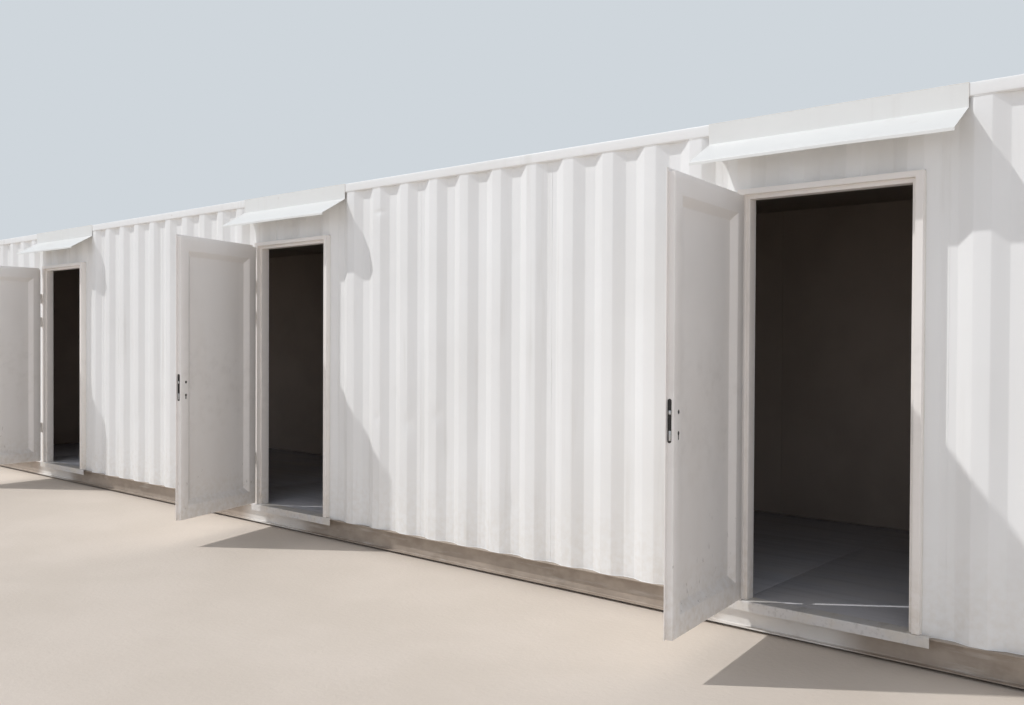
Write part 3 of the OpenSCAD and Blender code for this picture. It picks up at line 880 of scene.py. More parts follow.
# %% Bottom rails and end sills
RAIL_T, RAIL_WEB, LOW_FLANGE_IN, FOLD_RADIUS = 0.0045, 0.0525, 0.016, 0.009
WANDER_MM = 0.8
rail_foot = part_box("bottom_rail_front")[0].z
channel = bend([(LOW_FLANGE_IN, rail_foot), (RAIL_WEB, rail_foot), (RAIL_WEB, rail_top),
                (0, rail_top)], FOLD_RADIUS, 4)


def rail_place(seed):
    """Places the channel's (depth, height) along the front, with a slow wander in its web."""
    def place(depth, height, along):
        wander = WANDER_MM * noise.noise(Vector((along * 1.7, height * 6, seed)))
        inside = min(1, depth / RAIL_WEB) * min(1, (inner_l - abs(along)) / RAIL_STIFF)
        return Vector((along, front + depth - abs(wander) * MM * inside, height))
    return place


front_rail, back_rail = [
    folded_sheet(divide(channel, 0.03), RAIL_T, steps_between(-inner_l, inner_l, 0.12),
                 rail_place(seed)) for seed in (53.0, 59.0)]
piece("bottom_channel_front", [front_rail], rail_primer, ["bottom_rail_front"])
piece("bottom_channel_back", flipped([back_rail], 1), rail_primer,
      ["bottom_rail_back"])
sill = folded_sheet(channel, RAIL_T, (-inner_w, inner_w),
                    lambda depth, height, along: Vector((-half_l + depth, along, height)))
piece("end_channels", [sill] + flipped([sill], 0), rail_primer, ["end_sills"])
print("channel fold points:", len(channel))

# %% Cross members
MEMBER_W, MEMBER_T, MEMBER_RADIUS, MEMBER_GAPS = 0.045, 0.004, 0.007, 38
member_low, member_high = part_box("cross_members")
member = bend([(MEMBER_W, member_high.z), (0, member_high.z), (0, member_low.z),
               (MEMBER_W, member_low.z)], MEMBER_RADIUS, 2)
members = []
member_run = member_high.x - member_low.x - MEMBER_W
for i in range(MEMBER_GAPS + 1):
    x = member_low.x + member_run * i / MEMBER_GAPS
    members.append(folded_sheet(member, MEMBER_T, (member_low.y, member_high.y),
                                lambda u, v, s, x=x: Vector((x + u, s, v))))
piece("floor_members", members, under_primer, ["cross_members"])
print("cross members:", len(members))

# %% Corner posts
POST_T, POST_X, POST_Y, POST_FOLD, POST_RADIUS = 0.006, 0.176, 0.160, 0.056, 0.010
post_low, post_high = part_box("corner_posts")
fold = bend([(POST_FOLD, POST_Y), (0, POST_Y), (0, 0), (POST_X, 0), (POST_X, POST_FOLD)],
            POST_RADIUS, 4)
post = folded_sheet(divide(fold, 0.04), POST_T, steps_between(post_low.z, post_high.z, 0.25),
                    lambda u, v, s: Vector((post_low.x + u, post_low.y + v, s)))
posts = [post] + flipped([post], 0) + flipped([post], 1) + flipped([post], 0, 1)
piece("folded_posts", posts, wall_enamel, ["corner_posts"])
print("posts up to", round(post_high.z, 3))


# %% Corner castings
CAST_RADIUS, SAME_PLANE_DEG, SHARP_FROM_DEG = 0.004, 1, 30


def softened(node, radius):
    """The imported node's own shape with its sharp edges rounded, as a casting's are."""
    work = bmesh.new()
    work.from_mesh(frame["nodes"][node].data)
    bmesh.ops.remove_doubles(work, verts=work.verts, dist=0.01 * MM)
    bmesh.ops.dissolve_limit(work, angle_limit=math.radians(SAME_PLANE_DEG),
                             verts=work.verts, edges=work.edges)
    sharp = [e for e in work.edges if len(e.link_faces) == 2
             and e.calc_face_angle(0) > math.radians(SHARP_FROM_DEG)]
    bmesh.ops.bevel(work, geom=sharp, offset=radius, segments=3, profile=0.5,
                    affect="EDGES", clamp_overlap=True)
    work.verts.index_update()
    made = [v.co.copy() for v in work.verts], [[v.index for v in f.verts] for f in work.faces]
    work.free()
    return made


for level in ("bottom", "top"):
    piece(f"castings_{level}", [softened(f"corner_castings_{level}", CAST_RADIUS)],
          casting_enamel, [f"corner_castings_{level}"])
print("castings rounded at", CAST_RADIUS)

# %% [markdown]
# ## Floor and lining
#
# The floor is plywood sheets laid across the cabin, screwed to the members, with a thin joint
# between sheets. Walls and ceiling are lined with plaster board 1.2 m wide. Its factory edges
# are slightly rounded, so each joint shows as a fine line.

# %% Floor sheets and screws
BOARD_W, JOINT, FLOOR_IN = 1.22, 0.002, 0.060
# Radius and height of a countersunk head with its drive recess
SCREW = [(0.0052, -MM), (0.0050, 0.3 * MM), (0.0022, 0.3 * MM), (0.0020, -0.4 * MM)]
SCREWS, SCREW_IN, SCREW_END = 9, 0.03, 0.10
floor_x, floor_y = half_l - FLOOR_IN, half_w - FLOOR_IN
sheets = round(2 * floor_x / BOARD_W)
sheet_w = 2 * floor_x / sheets
boards, screws = [], []
for i in range(sheets):
    x0 = -floor_x + i * sheet_w
    boards.append(bar((x0 + JOINT / 2, -floor_y, floor_low.z),
                      (x0 + sheet_w - JOINT / 2, floor_y, floor_top), 0.001))
    for x in (x0 + SCREW_IN, x0 + sheet_w - SCREW_IN):
        for j in range(SCREWS):
            y = -floor_y + SCREW_END + j * (2 * floor_y - 2 * SCREW_END) / (SCREWS - 1)
            screws.append(turned(SCREW, (x, y, floor_top), 12))
piece("floor_boards", boards, floor_paint, ["floor"])
piece("floor_screws", screws, zinc)
print("floor sheets:", sheets, "screws:", len(screws))


# %% Lining boards
LINING_W, LINING_GAP, LINING_EDGE = 1.2, 0.0015, 0.0012
LIFT, LINING_IN = 0.004, 0.070


def boards_between(start, end, low, high, place):
    """Boards side by side from start to end, each from low to high, as rounded bars."""
    places = steps_between(start, end, LINING_W)
    made = []
    for a, b in zip(places, places[1:]):
        corner, other = place(a + LINING_GAP / 2, low), place(b - LINING_GAP / 2, high)
        thin = [min(c, o) for c, o in zip(corner[0], other[0])]
        thick = [max(c, o) for c, o in zip(corner[1], other[1])]
        made.append(bar(thin, thick, LINING_EDGE))
    return made


lining_x, lining_foot = half_l - LINING_IN, floor_top + LIFT
back_low, back_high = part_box("lining_back")
end_low, end_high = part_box("lining_ends")
top_low, top_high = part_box("ceiling")
LINING_T = lining_face - lining_back_face


def front_board(x, z):
    return (x, lining_back_face, z), (x, lining_face, z)


def back_board(x, z):
    return (x, back_low.y, z), (x, back_high.y, z)


def end_board(y, z):
    return (end_low.x, y, z), (end_low.x + LINING_T, y, z)


def top_board(x, y):
    return (x, y, top_low.z), (x, y, top_high.z)


gaps = [(door["x"] - frame_half, door["x"] + frame_half) for door in doors]
edges = [-lining_x] + [edge for gap in gaps for edge in gap] + [lining_x]
between_gaps = list(zip(edges[::2], edges[1::2]))
for name, runs, foot, place, node in (
        ("front", between_gaps, lining_foot, front_board, "lining_front"),
        ("over_doors", gaps, head_top, front_board, "lining_headers"),
        ("back", [(-lining_x, lining_x)], lining_foot, back_board, "lining_back")):
    boards = [board for start, end in runs
              for board in boards_between(start, end, foot, ceiling_under, place)]
    piece(f"lining_boards_{name}", boards, wall_board, [node])
    print(name, "boards:", len(boards))
boards = boards_between(end_low.y, end_high.y, lining_foot, ceiling_under, end_board)
piece("lining_boards_ends", boards + flipped(boards, 0), wall_board,
      ["lining_ends"])
boards = boards_between(top_low.x, top_high.x, top_low.y, top_high.y, top_board)
piece("ceiling_boards", boards, painted_shade_ceiling_board, ["ceiling"])
print("ceiling boards:", len(boards))

# %% [markdown]
# ## Door frames
#
# Each frame is rebated steel: in front a face 35 mm wide that stands 27 mm proud of the wall, and
# behind it a stop, 20 mm narrower, that the closed leaf lies in front of. Its section is drawn
# once and carried up the left post, over the head and down the right post, with mitred corners
# that are welded and ground flush. Three separate bars could be butted instead, but their stops
# would cross in the corners. The hinge halves on the left post are turned barrels, each with a
# pin and a welded block. The right post has a zinc strike plate with pockets for latch and bolt.
# A bead of sealant closes the gap to the waved sheet.

# %% Rebated frame
FRAME_OUT, HEAD_FACE, STOP_Y, FOOT_GAP = 0.027, 0.028, 0.003, 0.003
SILL_T, FRAME_EDGE = 0.004, 0.0025
# How far a cutter reaches past what it cuts
CUT_PAST = 0.01
clear_top = head_top - HEAD_FACE - STOP_W
frame_back = lining_face - front
section = bend([(STOP_W / 2, STOP_Y), (STOP_W, STOP_Y), (STOP_W, -FRAME_OUT),
                (STOP_W + FRAME_FACE, -FRAME_OUT), (STOP_W + FRAME_FACE, frame_back),
                (0, frame_back), (0, STOP_Y), (STOP_W / 2, STOP_Y)], FRAME_EDGE)[:-1]


def frame_ring(side, over_head):
    """The section's points beside the doorway, at the foot or where post and head meet."""
    ring = []
    for out, depth in section:
        rise = out if out < STOP_W else STOP_W + (out - STOP_W) * HEAD_FACE / FRAME_FACE
        height = clear_top + rise if over_head else floor_top
        ring.append(Vector((side * (doors[0]["half"] + out), front + depth, height)))
    return ring


frame_tube = skin([frame_ring(-1, False), frame_ring(-1, True),
                   frame_ring(1, True), frame_ring(1, False)])
slot_points, slot_faces = bar(
    (-frame_half - CUT_PAST, front - FRAME_OUT - CUT_PAST, floor_top - CUT_PAST),
    (frame_half + CUT_PAST, front, floor_top + SILL_T + FOOT_GAP), 0.0005)
print("frame section points:", len(section))

# %% Fixed hinge halves
PIN_SIDE, PIN_OUT, BARREL_R, BARREL_H = 0.021, 0.012, 0.009, 0.050
PIN_R, PIN_TOP, PIN_GAP, CHAMFER = 0.005, 0.038, 0.0003, 0.0008
BLOCK_W, BLOCK_DROP, BLOCK_WELD, STRAP_T, STRAP_L = 0.014, 0.006, 0.0022, 0.005, 0.060
HINGE_HEIGHTS = [floor_top + h for h in (0.370, 1.480, 1.725)]
HINGE_GAP, LOCK_GAP, LEAF_T = 0.005, 0.009, 0.034


def barrel(low):
    """A turned barrel with small chamfers."""
    r, c, high = BARREL_R, CHAMFER, low + BARREL_H
    return turned([(r - c, low), (r, low + c), (r, high - c), (r - c, high)], (0, 0, 0))


def fixed_half(height):
    """Lower barrel, pin, block and its two welds, round the pin's line."""
    foot, head = height - BARREL_H, height - BLOCK_DROP
    block = bar((-BLOCK_W / 2, 0, foot), (BLOCK_W / 2, PIN_OUT + MM, head), 0.001)
    pin = turned([(PIN_R, height - BARREL_H / 2), (PIN_R, height + PIN_TOP - 4 * MM),
                  (PIN_R - 2 * MM, height + PIN_TOP)], (0, 0, 0), 20)
    welds = [bead([Vector((side * BLOCK_W / 2, PIN_OUT - MM, z))
                   for z in steps_between(foot, head, 0.006)], BLOCK_WELD) for side in (-1, 1)]
    return [barrel(foot), block, pin] + welds


print("hinges at", [round(h, 3) for h in HINGE_HEIGHTS])


# %% Frames in place
LATCH, BOLT, STRIKE_H, STRIKE_T, POCKET_DEEP = 1.000, 0.900, 0.200, 0.0012, 0.014
POCKET_OUT, POCKET_IN, LATCH_HALF, BOLT_HALF = 0.0245, 0.0145, 0.0095, 0.0235
POCKET_Y = (front - POCKET_OUT, front - POCKET_IN)
POCKETS = [(LATCH - LATCH_HALF, LATCH + LATCH_HALF), (BOLT - BOLT_HALF, BOLT + BOLT_HALF)]
SEAL_OVER_RAIL, SEAL_UNDER_HEAD = 0.020, 0.004
strike_low = floor_top + (LATCH + BOLT - STRIKE_H) / 2
for door in doors:
    x, number = door["x"], door["number"]
    put = Matrix.Translation((x, 0, 0))
    tube = piece(f"door_frame_tubes_{number}", [frame_tube], frame_enamel,
                 [f"door_frame_{number}"], place=put)
    strike = bar((x + hole_half - STRIKE_T, front - FRAME_OUT + 2 * MM, strike_low),
                 (x + hole_half + MM, front - 2 * MM, strike_low + STRIKE_H), 0.0005)
    pockets = [bar((x + hole_half - 5 * MM, POCKET_Y[0], floor_top + a),
                   (x + hole_half + POCKET_DEEP, POCKET_Y[1], floor_top + b), CHAMFER)
               for a, b in POCKETS]
    cut(tube, pockets + [([put @ p for p in slot_points], slot_faces)])
    plate = piece(f"strike_plate_{number}", [strike], zinc)
    cut(plate, pockets)
    hinges = [part for h in HINGE_HEIGHTS for part in fixed_half(h)]
    piece(f"frame_hinges_{number}", hinges, frame_enamel,
          place=Matrix.Translation((door["pin"].x, door["pin"].y, 0)))
    seals = []
    for side, edge in ((1, x - frame_half), (-1, x + frame_half)):
        depth = WALL_IN + wave_depth(edge)
        line = [Vector((edge - side * MM, front + depth - MM, z))
                for z in steps_between(rail_top + SEAL_OVER_RAIL,
                                       head_top - SEAL_UNDER_HEAD, 0.02)]
        seals.append(bead(line, SEAL))
    piece(f"frame_seals_{number}", seals, sealant)
print("door frames:", len(doors), "with strike plates from", round(strike_low, 3))

# %% [markdown]
# ## Thresholds
#
# A threshold is a plate folded down at the front to make a lip. It runs past the frame on both
# sides, and a tongue is welded behind it that lies through the doorway up to the floor boards.
# In front of the stops the tongue is wider.

# %% Thresholds
SILL_OUT, SILL_LIP, SILL_RADIUS, SILL_DIP_MM = 0.025, 0.050, 0.005, 0.6
half = doors[0]["half"]
top = floor_top + SILL_T
plan = [(0, 0), (hole_half, 0), (hole_half, STOP_Y), (half, STOP_Y), (half, frame_back),
        (-half, frame_back), (-half, STOP_Y), (-hole_half, STOP_Y), (-hole_half, 0)]
lip = bend([(0, top), (-SILL_OUT, top), (-SILL_OUT, top - SILL_LIP)], SILL_RADIUS, 4)
for door in doors:
    x, number = door["x"], door["number"]

    def sill_place(depth, height, along, seed=61.0 + number):
        dip = SILL_DIP_MM * MM * abs(noise.noise(Vector((along * 6, height * 20, seed))))
        return Vector((along, front + depth + dip, height - dip))

    rows = steps_between(x - half - SILL_OVER, x + half + SILL_OVER, 0.03)
    strip = folded_sheet(divide(lip, 0.012), SILL_T, rows, sill_place)
    tongue = skin([[Vector((x + a, front + b, z)) for a, b in plan] for z in (floor_top, top)])
    piece(f"threshold_plate_{number}", [strip, tongue], threshold_steel,
          [f"threshold_{number}"])
print("thresholds reach", SILL_OUT, "in front of the wall")

# %% [markdown]
# ## Canopies
#
# A canopy is one sheet with two bends: an upright plate on the top rail, a slope that sheds the
# rain, and a narrow lip that stiffens the edge. A long free edge is never quite straight, so the
# slope sags a little between its ends. The plate is sealed along its top and ends.

# %% Canopies
CANOPY_T, CANOPY_BEND, CANOPY_PLATE, CANOPY_LIP = 0.0025, 0.006, 0.107, 0.016
SAG_MIDDLE_MM, SAG_WAVE_MM, CANOPY_SEAL, SEAL_STEP = 2.2, 1.5, 0.002, 0.012
LIP_ZONE, SEAL_OVER_FOLD = 0.03, 0.045
for door in doors:
    number = door["number"]
    node = f"canopy_{number}"
    low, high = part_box(node)
    fold_z, edge_z = high.z - CANOPY_PLATE, low.z + CANOPY_LIP
    path = bend([(-CANOPY_T, high.z), (-CANOPY_T, fold_z), (low.y - front, edge_z),
                 (low.y - front, low.z)], CANOPY_BEND, 4)

    def canopy_place(depth, height, along, low=low, high=high, seed=71.0 + number):
        out = min(1, max(0, -depth / (front - low.y)))
        middle = 1 - abs(2 * (along - low.x) / (high.x - low.x) - 1) ** 2
        sag = SAG_MIDDLE_MM * middle
        sag += SAG_WAVE_MM * noise.noise(Vector((along * 3, depth * 5, seed)))
        lift = abs(sag) * out * MM
        if height >= low.z + LIP_ZONE:
            lift = -lift
        return Vector((along, front + depth, height + lift))

    sheet = folded_sheet(divide(path, 0.03), CANOPY_T, steps_between(low.x, high.x, 0.04),
                         canopy_place)
    piece(f"canopy_sheet_{number}", [sheet], painted_shade_canopy_enamel, [node])
    lines = [[Vector((a, front - CANOPY_T / 2, high.z - MM / 2)) for a in
              steps_between(low.x, high.x, SEAL_STEP)]]
    for x in (low.x, high.x):
        lines.append([Vector((x, front - 1.2 * MM, z)) for z in
                      steps_between(fold_z + SEAL_OVER_FOLD, high.z, SEAL_STEP)])
    piece(f"canopy_seal_{number}", [bead(line, CANOPY_SEAL) for line in lines], sealant)
print("canopies:", len(doors), "reaching", round(front - low.y, 3), "m out")

# %% [markdown]
# ## Door leaves
#
# A leaf is a steel shell 34 mm thick. Its inner face has a sunk panel with four sloping sides
# that meet in mitres. Its outer skin reaches past the shell as a thin lip at the lock side and
# the top, which covers the gap to the frame, and has the same panel pressed two millimetres
# deep. Both are drawn as grids with lines at every fold. Where two slopes meet, the grid's cells
# are split along the mitre, so the crease is a true edge. The holes are cut through afterwards.

# %% Leaf grid
BORDER_SIDE, BORDER_END, SLOPE_W, PANEL_D, OUTER_D = 0.075, 0.095, 0.040, 0.028, 0.0022
EDGE_R, CREASE_R, LIP_W, LIP_T, LIP_R = 0.0025, 0.0015, 0.016, 0.003, 0.0006
BORDER_STEP, SLOPE_STEP, PANEL_STEP = 0.04, 0.013, 0.06
LEAF_W = 2 * hole_half - HINGE_GAP - LOCK_GAP
LEAF_X, LEAF_Y = PIN_SIDE + HINGE_GAP, 0.003
leaf_low, leaf_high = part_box("door_leaf_1")
LEAF_H = leaf_high.z - leaf_low.z - LIP_W


def face_lines(length, border):
    """Places of the grid's lines across a face of that length."""
    near = [0, 0.3 * EDGE_R, EDGE_R]
    near += steps_between(EDGE_R, border - CREASE_R, BORDER_STEP)[1:]
    near += [border, border + CREASE_R]
    near += steps_between(border + CREASE_R, border + SLOPE_W - CREASE_R, SLOPE_STEP)[1:]
    near += [border + SLOPE_W, border + SLOPE_W + CREASE_R]
    middle = steps_between(near[-1], length - near[-1], PANEL_STEP)[1:-1]
    return near + middle + [length - n for n in reversed(near)]


def ramp(d):
    """Distance past a crease, rounded over the crease's radius."""
    if d <= -CREASE_R:
        return 0
    return d if d >= CREASE_R else (d + CREASE_R) ** 2 / (4 * CREASE_R)


def sunk(x, z):
    """How far the panel has sunk at a place, as a share of its depth."""
    d = min(min(x, LEAF_W - x) - BORDER_SIDE, min(z, LEAF_H - z) - BORDER_END)
    return (ramp(d) - ramp(d - SLOPE_W)) / SLOPE_W


def edge_round(d, radius):
    """How far the face falls back at a distance d from an edge of that radius."""
    return radius - math.sqrt(max(0, radius ** 2 - max(0, radius - d) ** 2))


def on_mitre(*places):
    """Whether all places lie on the mitre lines, where the slopes of a side and an end meet."""
    return sum(abs(min(x, LEAF_W - x) - BORDER_SIDE - min(z, LEAF_H - z) + BORDER_END)
               for x, z in places) < 1e-6


print("leaf", round(LEAF_W, 3), "wide and", round(LEAF_H, 3), "high")


# %% Boards over a grid
def board(xs, zs, inner, outer):
    """A closed board over a grid; inner and outer give its two faces' y at a place."""
    points, faces = [], []
    for face in (inner, outer):
        first = len(points)
        points += [Vector((x, face(x, z), z)) for z in zs for x in xs]
        for j in range(len(zs) - 1):
            for i in range(len(xs) - 1):
                a = first + j * len(xs) + i
                b, c, d = a + 1, a + 1 + len(xs), a + len(xs)
                (x0, x1), (z0, z1) = xs[i:i + 2], zs[j:j + 2]
                if on_mitre((x0, z0), (x1, z1)):
                    faces += [(a, b, c), (a, c, d)]
                elif on_mitre((x1, z0), (x0, z1)):
                    faces += [(a, b, d), (b, c, d)]
                else:
                    faces.append((a, b, c, d))
    rim = list(range(len(xs)))
    rim += [j * len(xs) + len(xs) - 1 for j in range(1, len(zs))]
    rim += [(len(zs) - 1) * len(xs) + i for i in range(len(xs) - 2, -1, -1)]
    rim += [j * len(xs) for j in range(len(zs) - 2, 0, -1)]
    other = len(xs) * len(zs)
    faces += [(a, b, b + other, a + other) for a, b in zip(rim, rim[1:] + rim[:1])]
    return points, faces


flat_board = board([0, 1], [0, 1], lambda x, z: 1, lambda x, z: 0)
print("a board of one cell has", len(flat_board[1]), "faces")


# %% Leaf shell and skin
PANEL_WAVE_MM, SKIN_LAP = 0.7, 0.0003


def shell_inner(x, z):
    back = edge_round(min(x, LEAF_W - x), EDGE_R) + edge_round(min(z, LEAF_H - z), EDGE_R)
    wave = PANEL_WAVE_MM * MM * noise.noise(Vector((x * 2.4, z * 1.5, 83.0)))
    return LEAF_T - min(back, EDGE_R) + (wave - PANEL_D) * sunk(x, z)


def skin_edge(x, z):
    return min(LIP_R, edge_round(min(x, LEAF_W + LIP_W - x), LIP_R)
               + edge_round(min(z, LEAF_H + LIP_W - z), LIP_R))


across, up = face_lines(LEAF_W, BORDER_SIDE), face_lines(LEAF_H, BORDER_END)
past = [LIP_W / 2, LIP_W - LIP_R, LIP_W - 0.3 * LIP_R, LIP_W]
# The shell begins inside the skin, so that no two faces lie in one plane
leaf_shell = board(across, up, shell_inner, lambda x, z: LIP_T - SKIN_LAP)
leaf_skin = board(across + [LEAF_W + p for p in past], up + [LEAF_H + p for p in past],
                  lambda x, z: LIP_T - skin_edge(x, z),
                  lambda x, z: skin_edge(x, z) + OUTER_D * sunk(x, z))
print("leaf grid:", len(across), "by", len(up))

# %% Moving hinge halves
STRAP_START, STRAP_EDGE = 0.002, 0.0012


def moving_half(height):
    """Upper barrel, strap and packing on the leaf's outer face, round the pin's line."""
    low, high = height + PIN_GAP, height + PIN_GAP + BARREL_H
    reach = LEAF_X + STRAP_L
    strap = bar((STRAP_START, -STRAP_T / 2, low), (reach, STRAP_T / 2, high), STRAP_EDGE)
    packing = bar((LEAF_X + 2 * HINGE_GAP, -STRAP_T / 2 + MM, low + MM),
                  (reach - MM, LEAF_Y + MM, high - MM), 0.001)
    return [barrel(low), strap, packing]


print("gap between the hinge halves:", PIN_GAP)

# %% [markdown]
# ## Locks
#
# A mortise lock sits inside the leaf. From outside it shows as a black face plate with rounded
# ends in the leaf's edge, with a bright latch above and a bright bolt below, and as two holes
# through the leaf: a round one for the handle's spindle and a keyhole under it. The leaf's steel
# is a little over a millimetre thick, and right behind it a black lock case closes both holes;
# its black is painted shade, standing for the dark inside of the holes.

# %% Lock parts
FACE_W, FACE_T, FACE_IN = 0.018, 0.002, 0.002
face_y = LIP_T + FACE_IN + FACE_W / 2
BACKSET, HOLE_R, KEY_W, KEY_DROP = 0.050, 0.010, 0.011, 0.028
CASE_W, CASE_IN, CASE_UNDER, CASE_OVER, LEAF_STEEL = 0.072, 0.006, 0.045, 0.035, 0.0012
SPINDLE, CYLINDER = floor_top + 1.000, floor_top + 0.908


def round_ended(width, height, sides=10):
    """The outline of a plate with round ends, centred on zero, as (across, up)."""
    r, straight = width / 2, height / 2 - width / 2
    top = [(r * math.cos(math.pi * k / sides), straight + r * math.sin(math.pi * k / sides))
           for k in range(sides + 1)]
    return top + [(-a, -b) for a, b in top]


def edge_plate(width, height, centre, low, high):
    """A round-ended plate on the leaf's edge, from x = low to high, with a small chamfer."""
    chamfer = min(0.0006, (high - low) / 2)
    rings = []
    for x, less in ((low, 0), (high - chamfer, 0), (high, chamfer)):
        outline = round_ended(width - 2 * less, height - 2 * less)
        rings.append([Vector((x, face_y + a, centre + b)) for a, b in outline])
    return skin(rings)


def lock_cutters(height):
    """The spindle hole and the keyhole through the leaf, measured as the shell is."""
    x = LEAF_W - BACKSET
    lift = Matrix.Rotation(math.radians(-90), 4, "X")
    tools = []
    for centre in (SPINDLE, CYLINDER):
        points, faces = turned([(HOLE_R, -CUT_PAST), (HOLE_R, LEAF_T + CUT_PAST)], (0, 0, 0), 28)
        move = Matrix.Translation((x, 0, centre - height)) @ lift
        tools.append(([move @ p for p in points], faces))
    slot_low = CYLINDER - KEY_DROP - height
    tools.append(bar((x - KEY_W / 2, -CUT_PAST, slot_low),
                     (x + KEY_W / 2, LEAF_T + CUT_PAST, CYLINDER - height), 0.001))
    return tools


print("spindle hole at", round(SPINDLE, 3), "keyhole at", round(CYLINDER, 3))


# %% Leaves, hinges and locks
# Height over the floor, half height, reach past the face plate and edge radius of the two
TONGUES = [(LATCH, 0.0085, 0.004, 0.0014), (BOLT, 0.0215, 0.001, 0.0008)]
face_low, face_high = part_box("lock_1")
face_centre, face_height = (face_low.z + face_high.z) / 2, face_high.z - face_low.z
for door in doors:
    number, body = door["number"], f"leaf_{door['number']}"
    swing = (Matrix.Translation((door["pin"].x, door["pin"].y, 0))
             @ Matrix.Rotation(math.radians(-door["open"]), 4, "Z"))
    hung = swing @ Matrix.Translation((LEAF_X, LEAF_Y, leaf_low.z))
    leaf = piece(f"leaf_shell_{number}", [leaf_shell, leaf_skin], leaf_enamel,
                 [f"door_leaf_{number}"], body)
    cut(leaf, lock_cutters(leaf_low.z))
    leaf.data.transform(hung)
    leaf.data.update()
    hinges = [part for h in HINGE_HEIGHTS for part in moving_half(h)]
    piece(f"leaf_hinges_{number}", hinges, frame_enamel, (), body, swing)
    edge = swing @ Matrix.Translation((LEAF_X, LEAF_Y, 0))
    plate = edge_plate(FACE_W, face_height, face_centre, LEAF_W - MM, LEAF_W + FACE_T)
    piece(f"lock_face_{number}", [plate], lock_black_and_painted_shade, [f"lock_{number}"],
          body, edge)
    tongue_low, tongue_high = POCKET_Y[0] - door["pin"].y, POCKET_Y[1] - door["pin"].y
    bolts = [bar((LEAF_W, tongue_low - LEAF_Y, floor_top + height - half_height),
                 (LEAF_W + FACE_T + reach, tongue_high - LEAF_Y, floor_top + height + half_height),
                 radius)
             for height, half_height, reach, radius in TONGUES]
    piece(f"lock_bolts_{number}", bolts, zinc, (), body, edge)
    # The case is black as painted shade for the dark insides of the spindle hole and keyhole
    case = bar((LEAF_W - CASE_W, LEAF_STEEL, CYLINDER - CASE_UNDER),
               (LEAF_W - CASE_IN, LEAF_T - LEAF_STEEL, SPINDLE + CASE_OVER), 0.001)
    piece(f"painted_shade_lock_case_{number}", [case], lock_black_and_painted_shade, (), body, edge)
print("leaves hung:", len(doors))

# %% [markdown]
# ## Studio
#
# The cabin stands on a plain pale floor. One lamp stands for the high sun at the left, and a dome
# fills the shade. The dome is brightest at its rim and dimmer overhead, so that the walls are
# well lit and the white roof, which the lamp strikes from above, still doesn't clip. What the
# camera and mirrors see of the dome is one plain pale tone.

# %% Floor
FLOOR_RADIUS, FLOOR_CORNERS = 60, 96
pale_sand = finish("pale_sand", "#dacec1", 0.9, [("#d0c4b6", 0.5, pattern(900, 0.35, 0.65))],
                   pattern(30, 0.3, 0.7, detail=5.0), 0.8)
bpy.ops.mesh.primitive_circle_add(vertices=FLOOR_CORNERS, radius=FLOOR_RADIUS,
                                  fill_type="NGON")
ground = bpy.context.object
ground.name = "studio_ground"
ground.data.materials.append(pale_sand)
ground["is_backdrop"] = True
print("floor", FLOOR_RADIUS, "m round")

# %% Light
SUN_WAY = Vector((0.56, 0.395, -0.755))
SUN_STRENGTH, SUN_SIZE_DEG = 1.9, 1.0
sun_data = bpy.data.lights.new("studio_sun", "SUN")
sun_data.energy = SUN_STRENGTH
sun_data.angle = math.radians(SUN_SIZE_DEG)
sun = bpy.data.objects.new("studio_sun", sun_data)
sun.rotation_euler = SUN_WAY.to_track_quat("-Z", "Y").to_euler()
bpy.context.scene.collection.objects.link(sun)

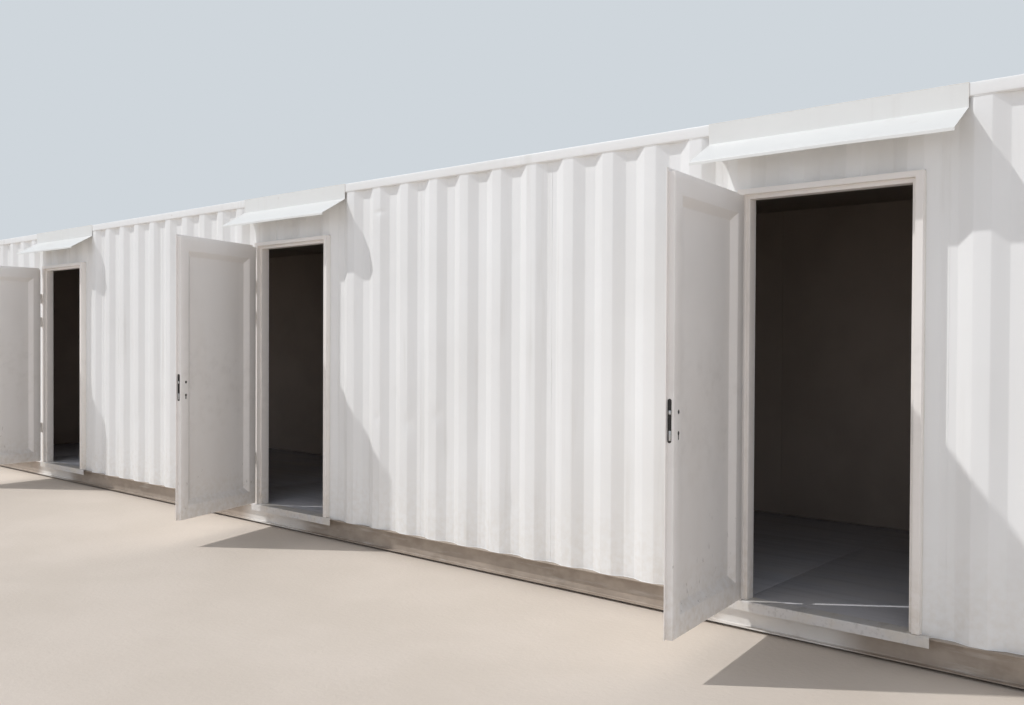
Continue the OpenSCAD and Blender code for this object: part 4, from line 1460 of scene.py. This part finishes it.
DOME, BACKDROP, HORIZON, ZENITH = "#e9eef8", "#cfd6dc", 1.05, 0.36
world = bpy.data.worlds.new("studio_dome")
bpy.context.scene.world = world
world.use_nodes = True
sky = world.node_tree
sky.nodes.clear()
way = add(sky, "TexCoord").outputs["Generated"]
up_share = add(sky, "SeparateXYZ", {"Vector": way}).outputs["Z"]
level = add(sky, "MapRange", {"Value": up_share, "To Min": HORIZON, "To Max": ZENITH})
dome = add(sky, "Background", {"Color": linear(DOME), "Strength": level.outputs["Result"]})
seen = add(sky, "Background", {"Color": linear(BACKDROP), "Strength": 1.0})
ray = add(sky, "LightPath")
direct = add(sky, "Math", {0: ray.outputs["Is Camera Ray"], 1: ray.outputs["Is Glossy Ray"]},
             operation="MAXIMUM")
either = add(sky, "Math", {0: direct.outputs[0], 1: ray.outputs["Is Transmission Ray"]},
             operation="MAXIMUM")
mixed = add(sky, "MixShader", {0: either.outputs[0], 1: dome.outputs[0], 2: seen.outputs[0]})
add(sky, "OutputWorld", {"Surface": mixed.outputs[0]})
bpy.context.scene.view_settings.view_transform = "Standard"
print("lamp towards", tuple(round(c, 2) for c in SUN_WAY), "dome", HORIZON, "to", ZENITH)

# %% [markdown]
# ## Camera
#
# The camera stands at a person's eye height, a few steps from the right doorway, and looks along
# the wall to the left. Its lens and place were worked out from the pitch of the waves and the
# height of the cabin.

# %% Camera
EYE = Vector((5.840, -5.598, 1.4595))
TURN_DEG, PITCH_DEG, ROLL_DEG = 40.618, -0.662, 0.282
FOCAL_PX, IMAGE_W, SENSOR_MM, FARTHEST = 946.2, 1024, 36, 200
camera_data = bpy.data.cameras.new("camera")
camera_data.sensor_width = SENSOR_MM
camera_data.lens = FOCAL_PX / IMAGE_W * SENSOR_MM
camera_data.clip_end = FARTHEST
camera = bpy.data.objects.new("camera", camera_data)
camera.matrix_world = (Matrix.Translation(EYE)
                       @ Matrix.Rotation(math.radians(TURN_DEG), 4, "Z")
                       @ Matrix.Rotation(math.radians(90 + PITCH_DEG), 4, "X")
                       @ Matrix.Rotation(math.radians(ROLL_DEG), 4, "Z"))
bpy.context.scene.collection.objects.link(camera)
bpy.context.scene.camera = camera
print("lens", round(camera_data.lens, 2), "mm")

# %% [markdown]
# ## Triangles
#
# The last cell counts the triangles in every piece that is shown.

# %% Count the triangles
bpy.context.view_layer.update()
triangles = sum(len(p.vertices) - 2 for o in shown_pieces() if o.type == "MESH"
                for p in o.data.polygons)
print("triangles in all:", triangles)
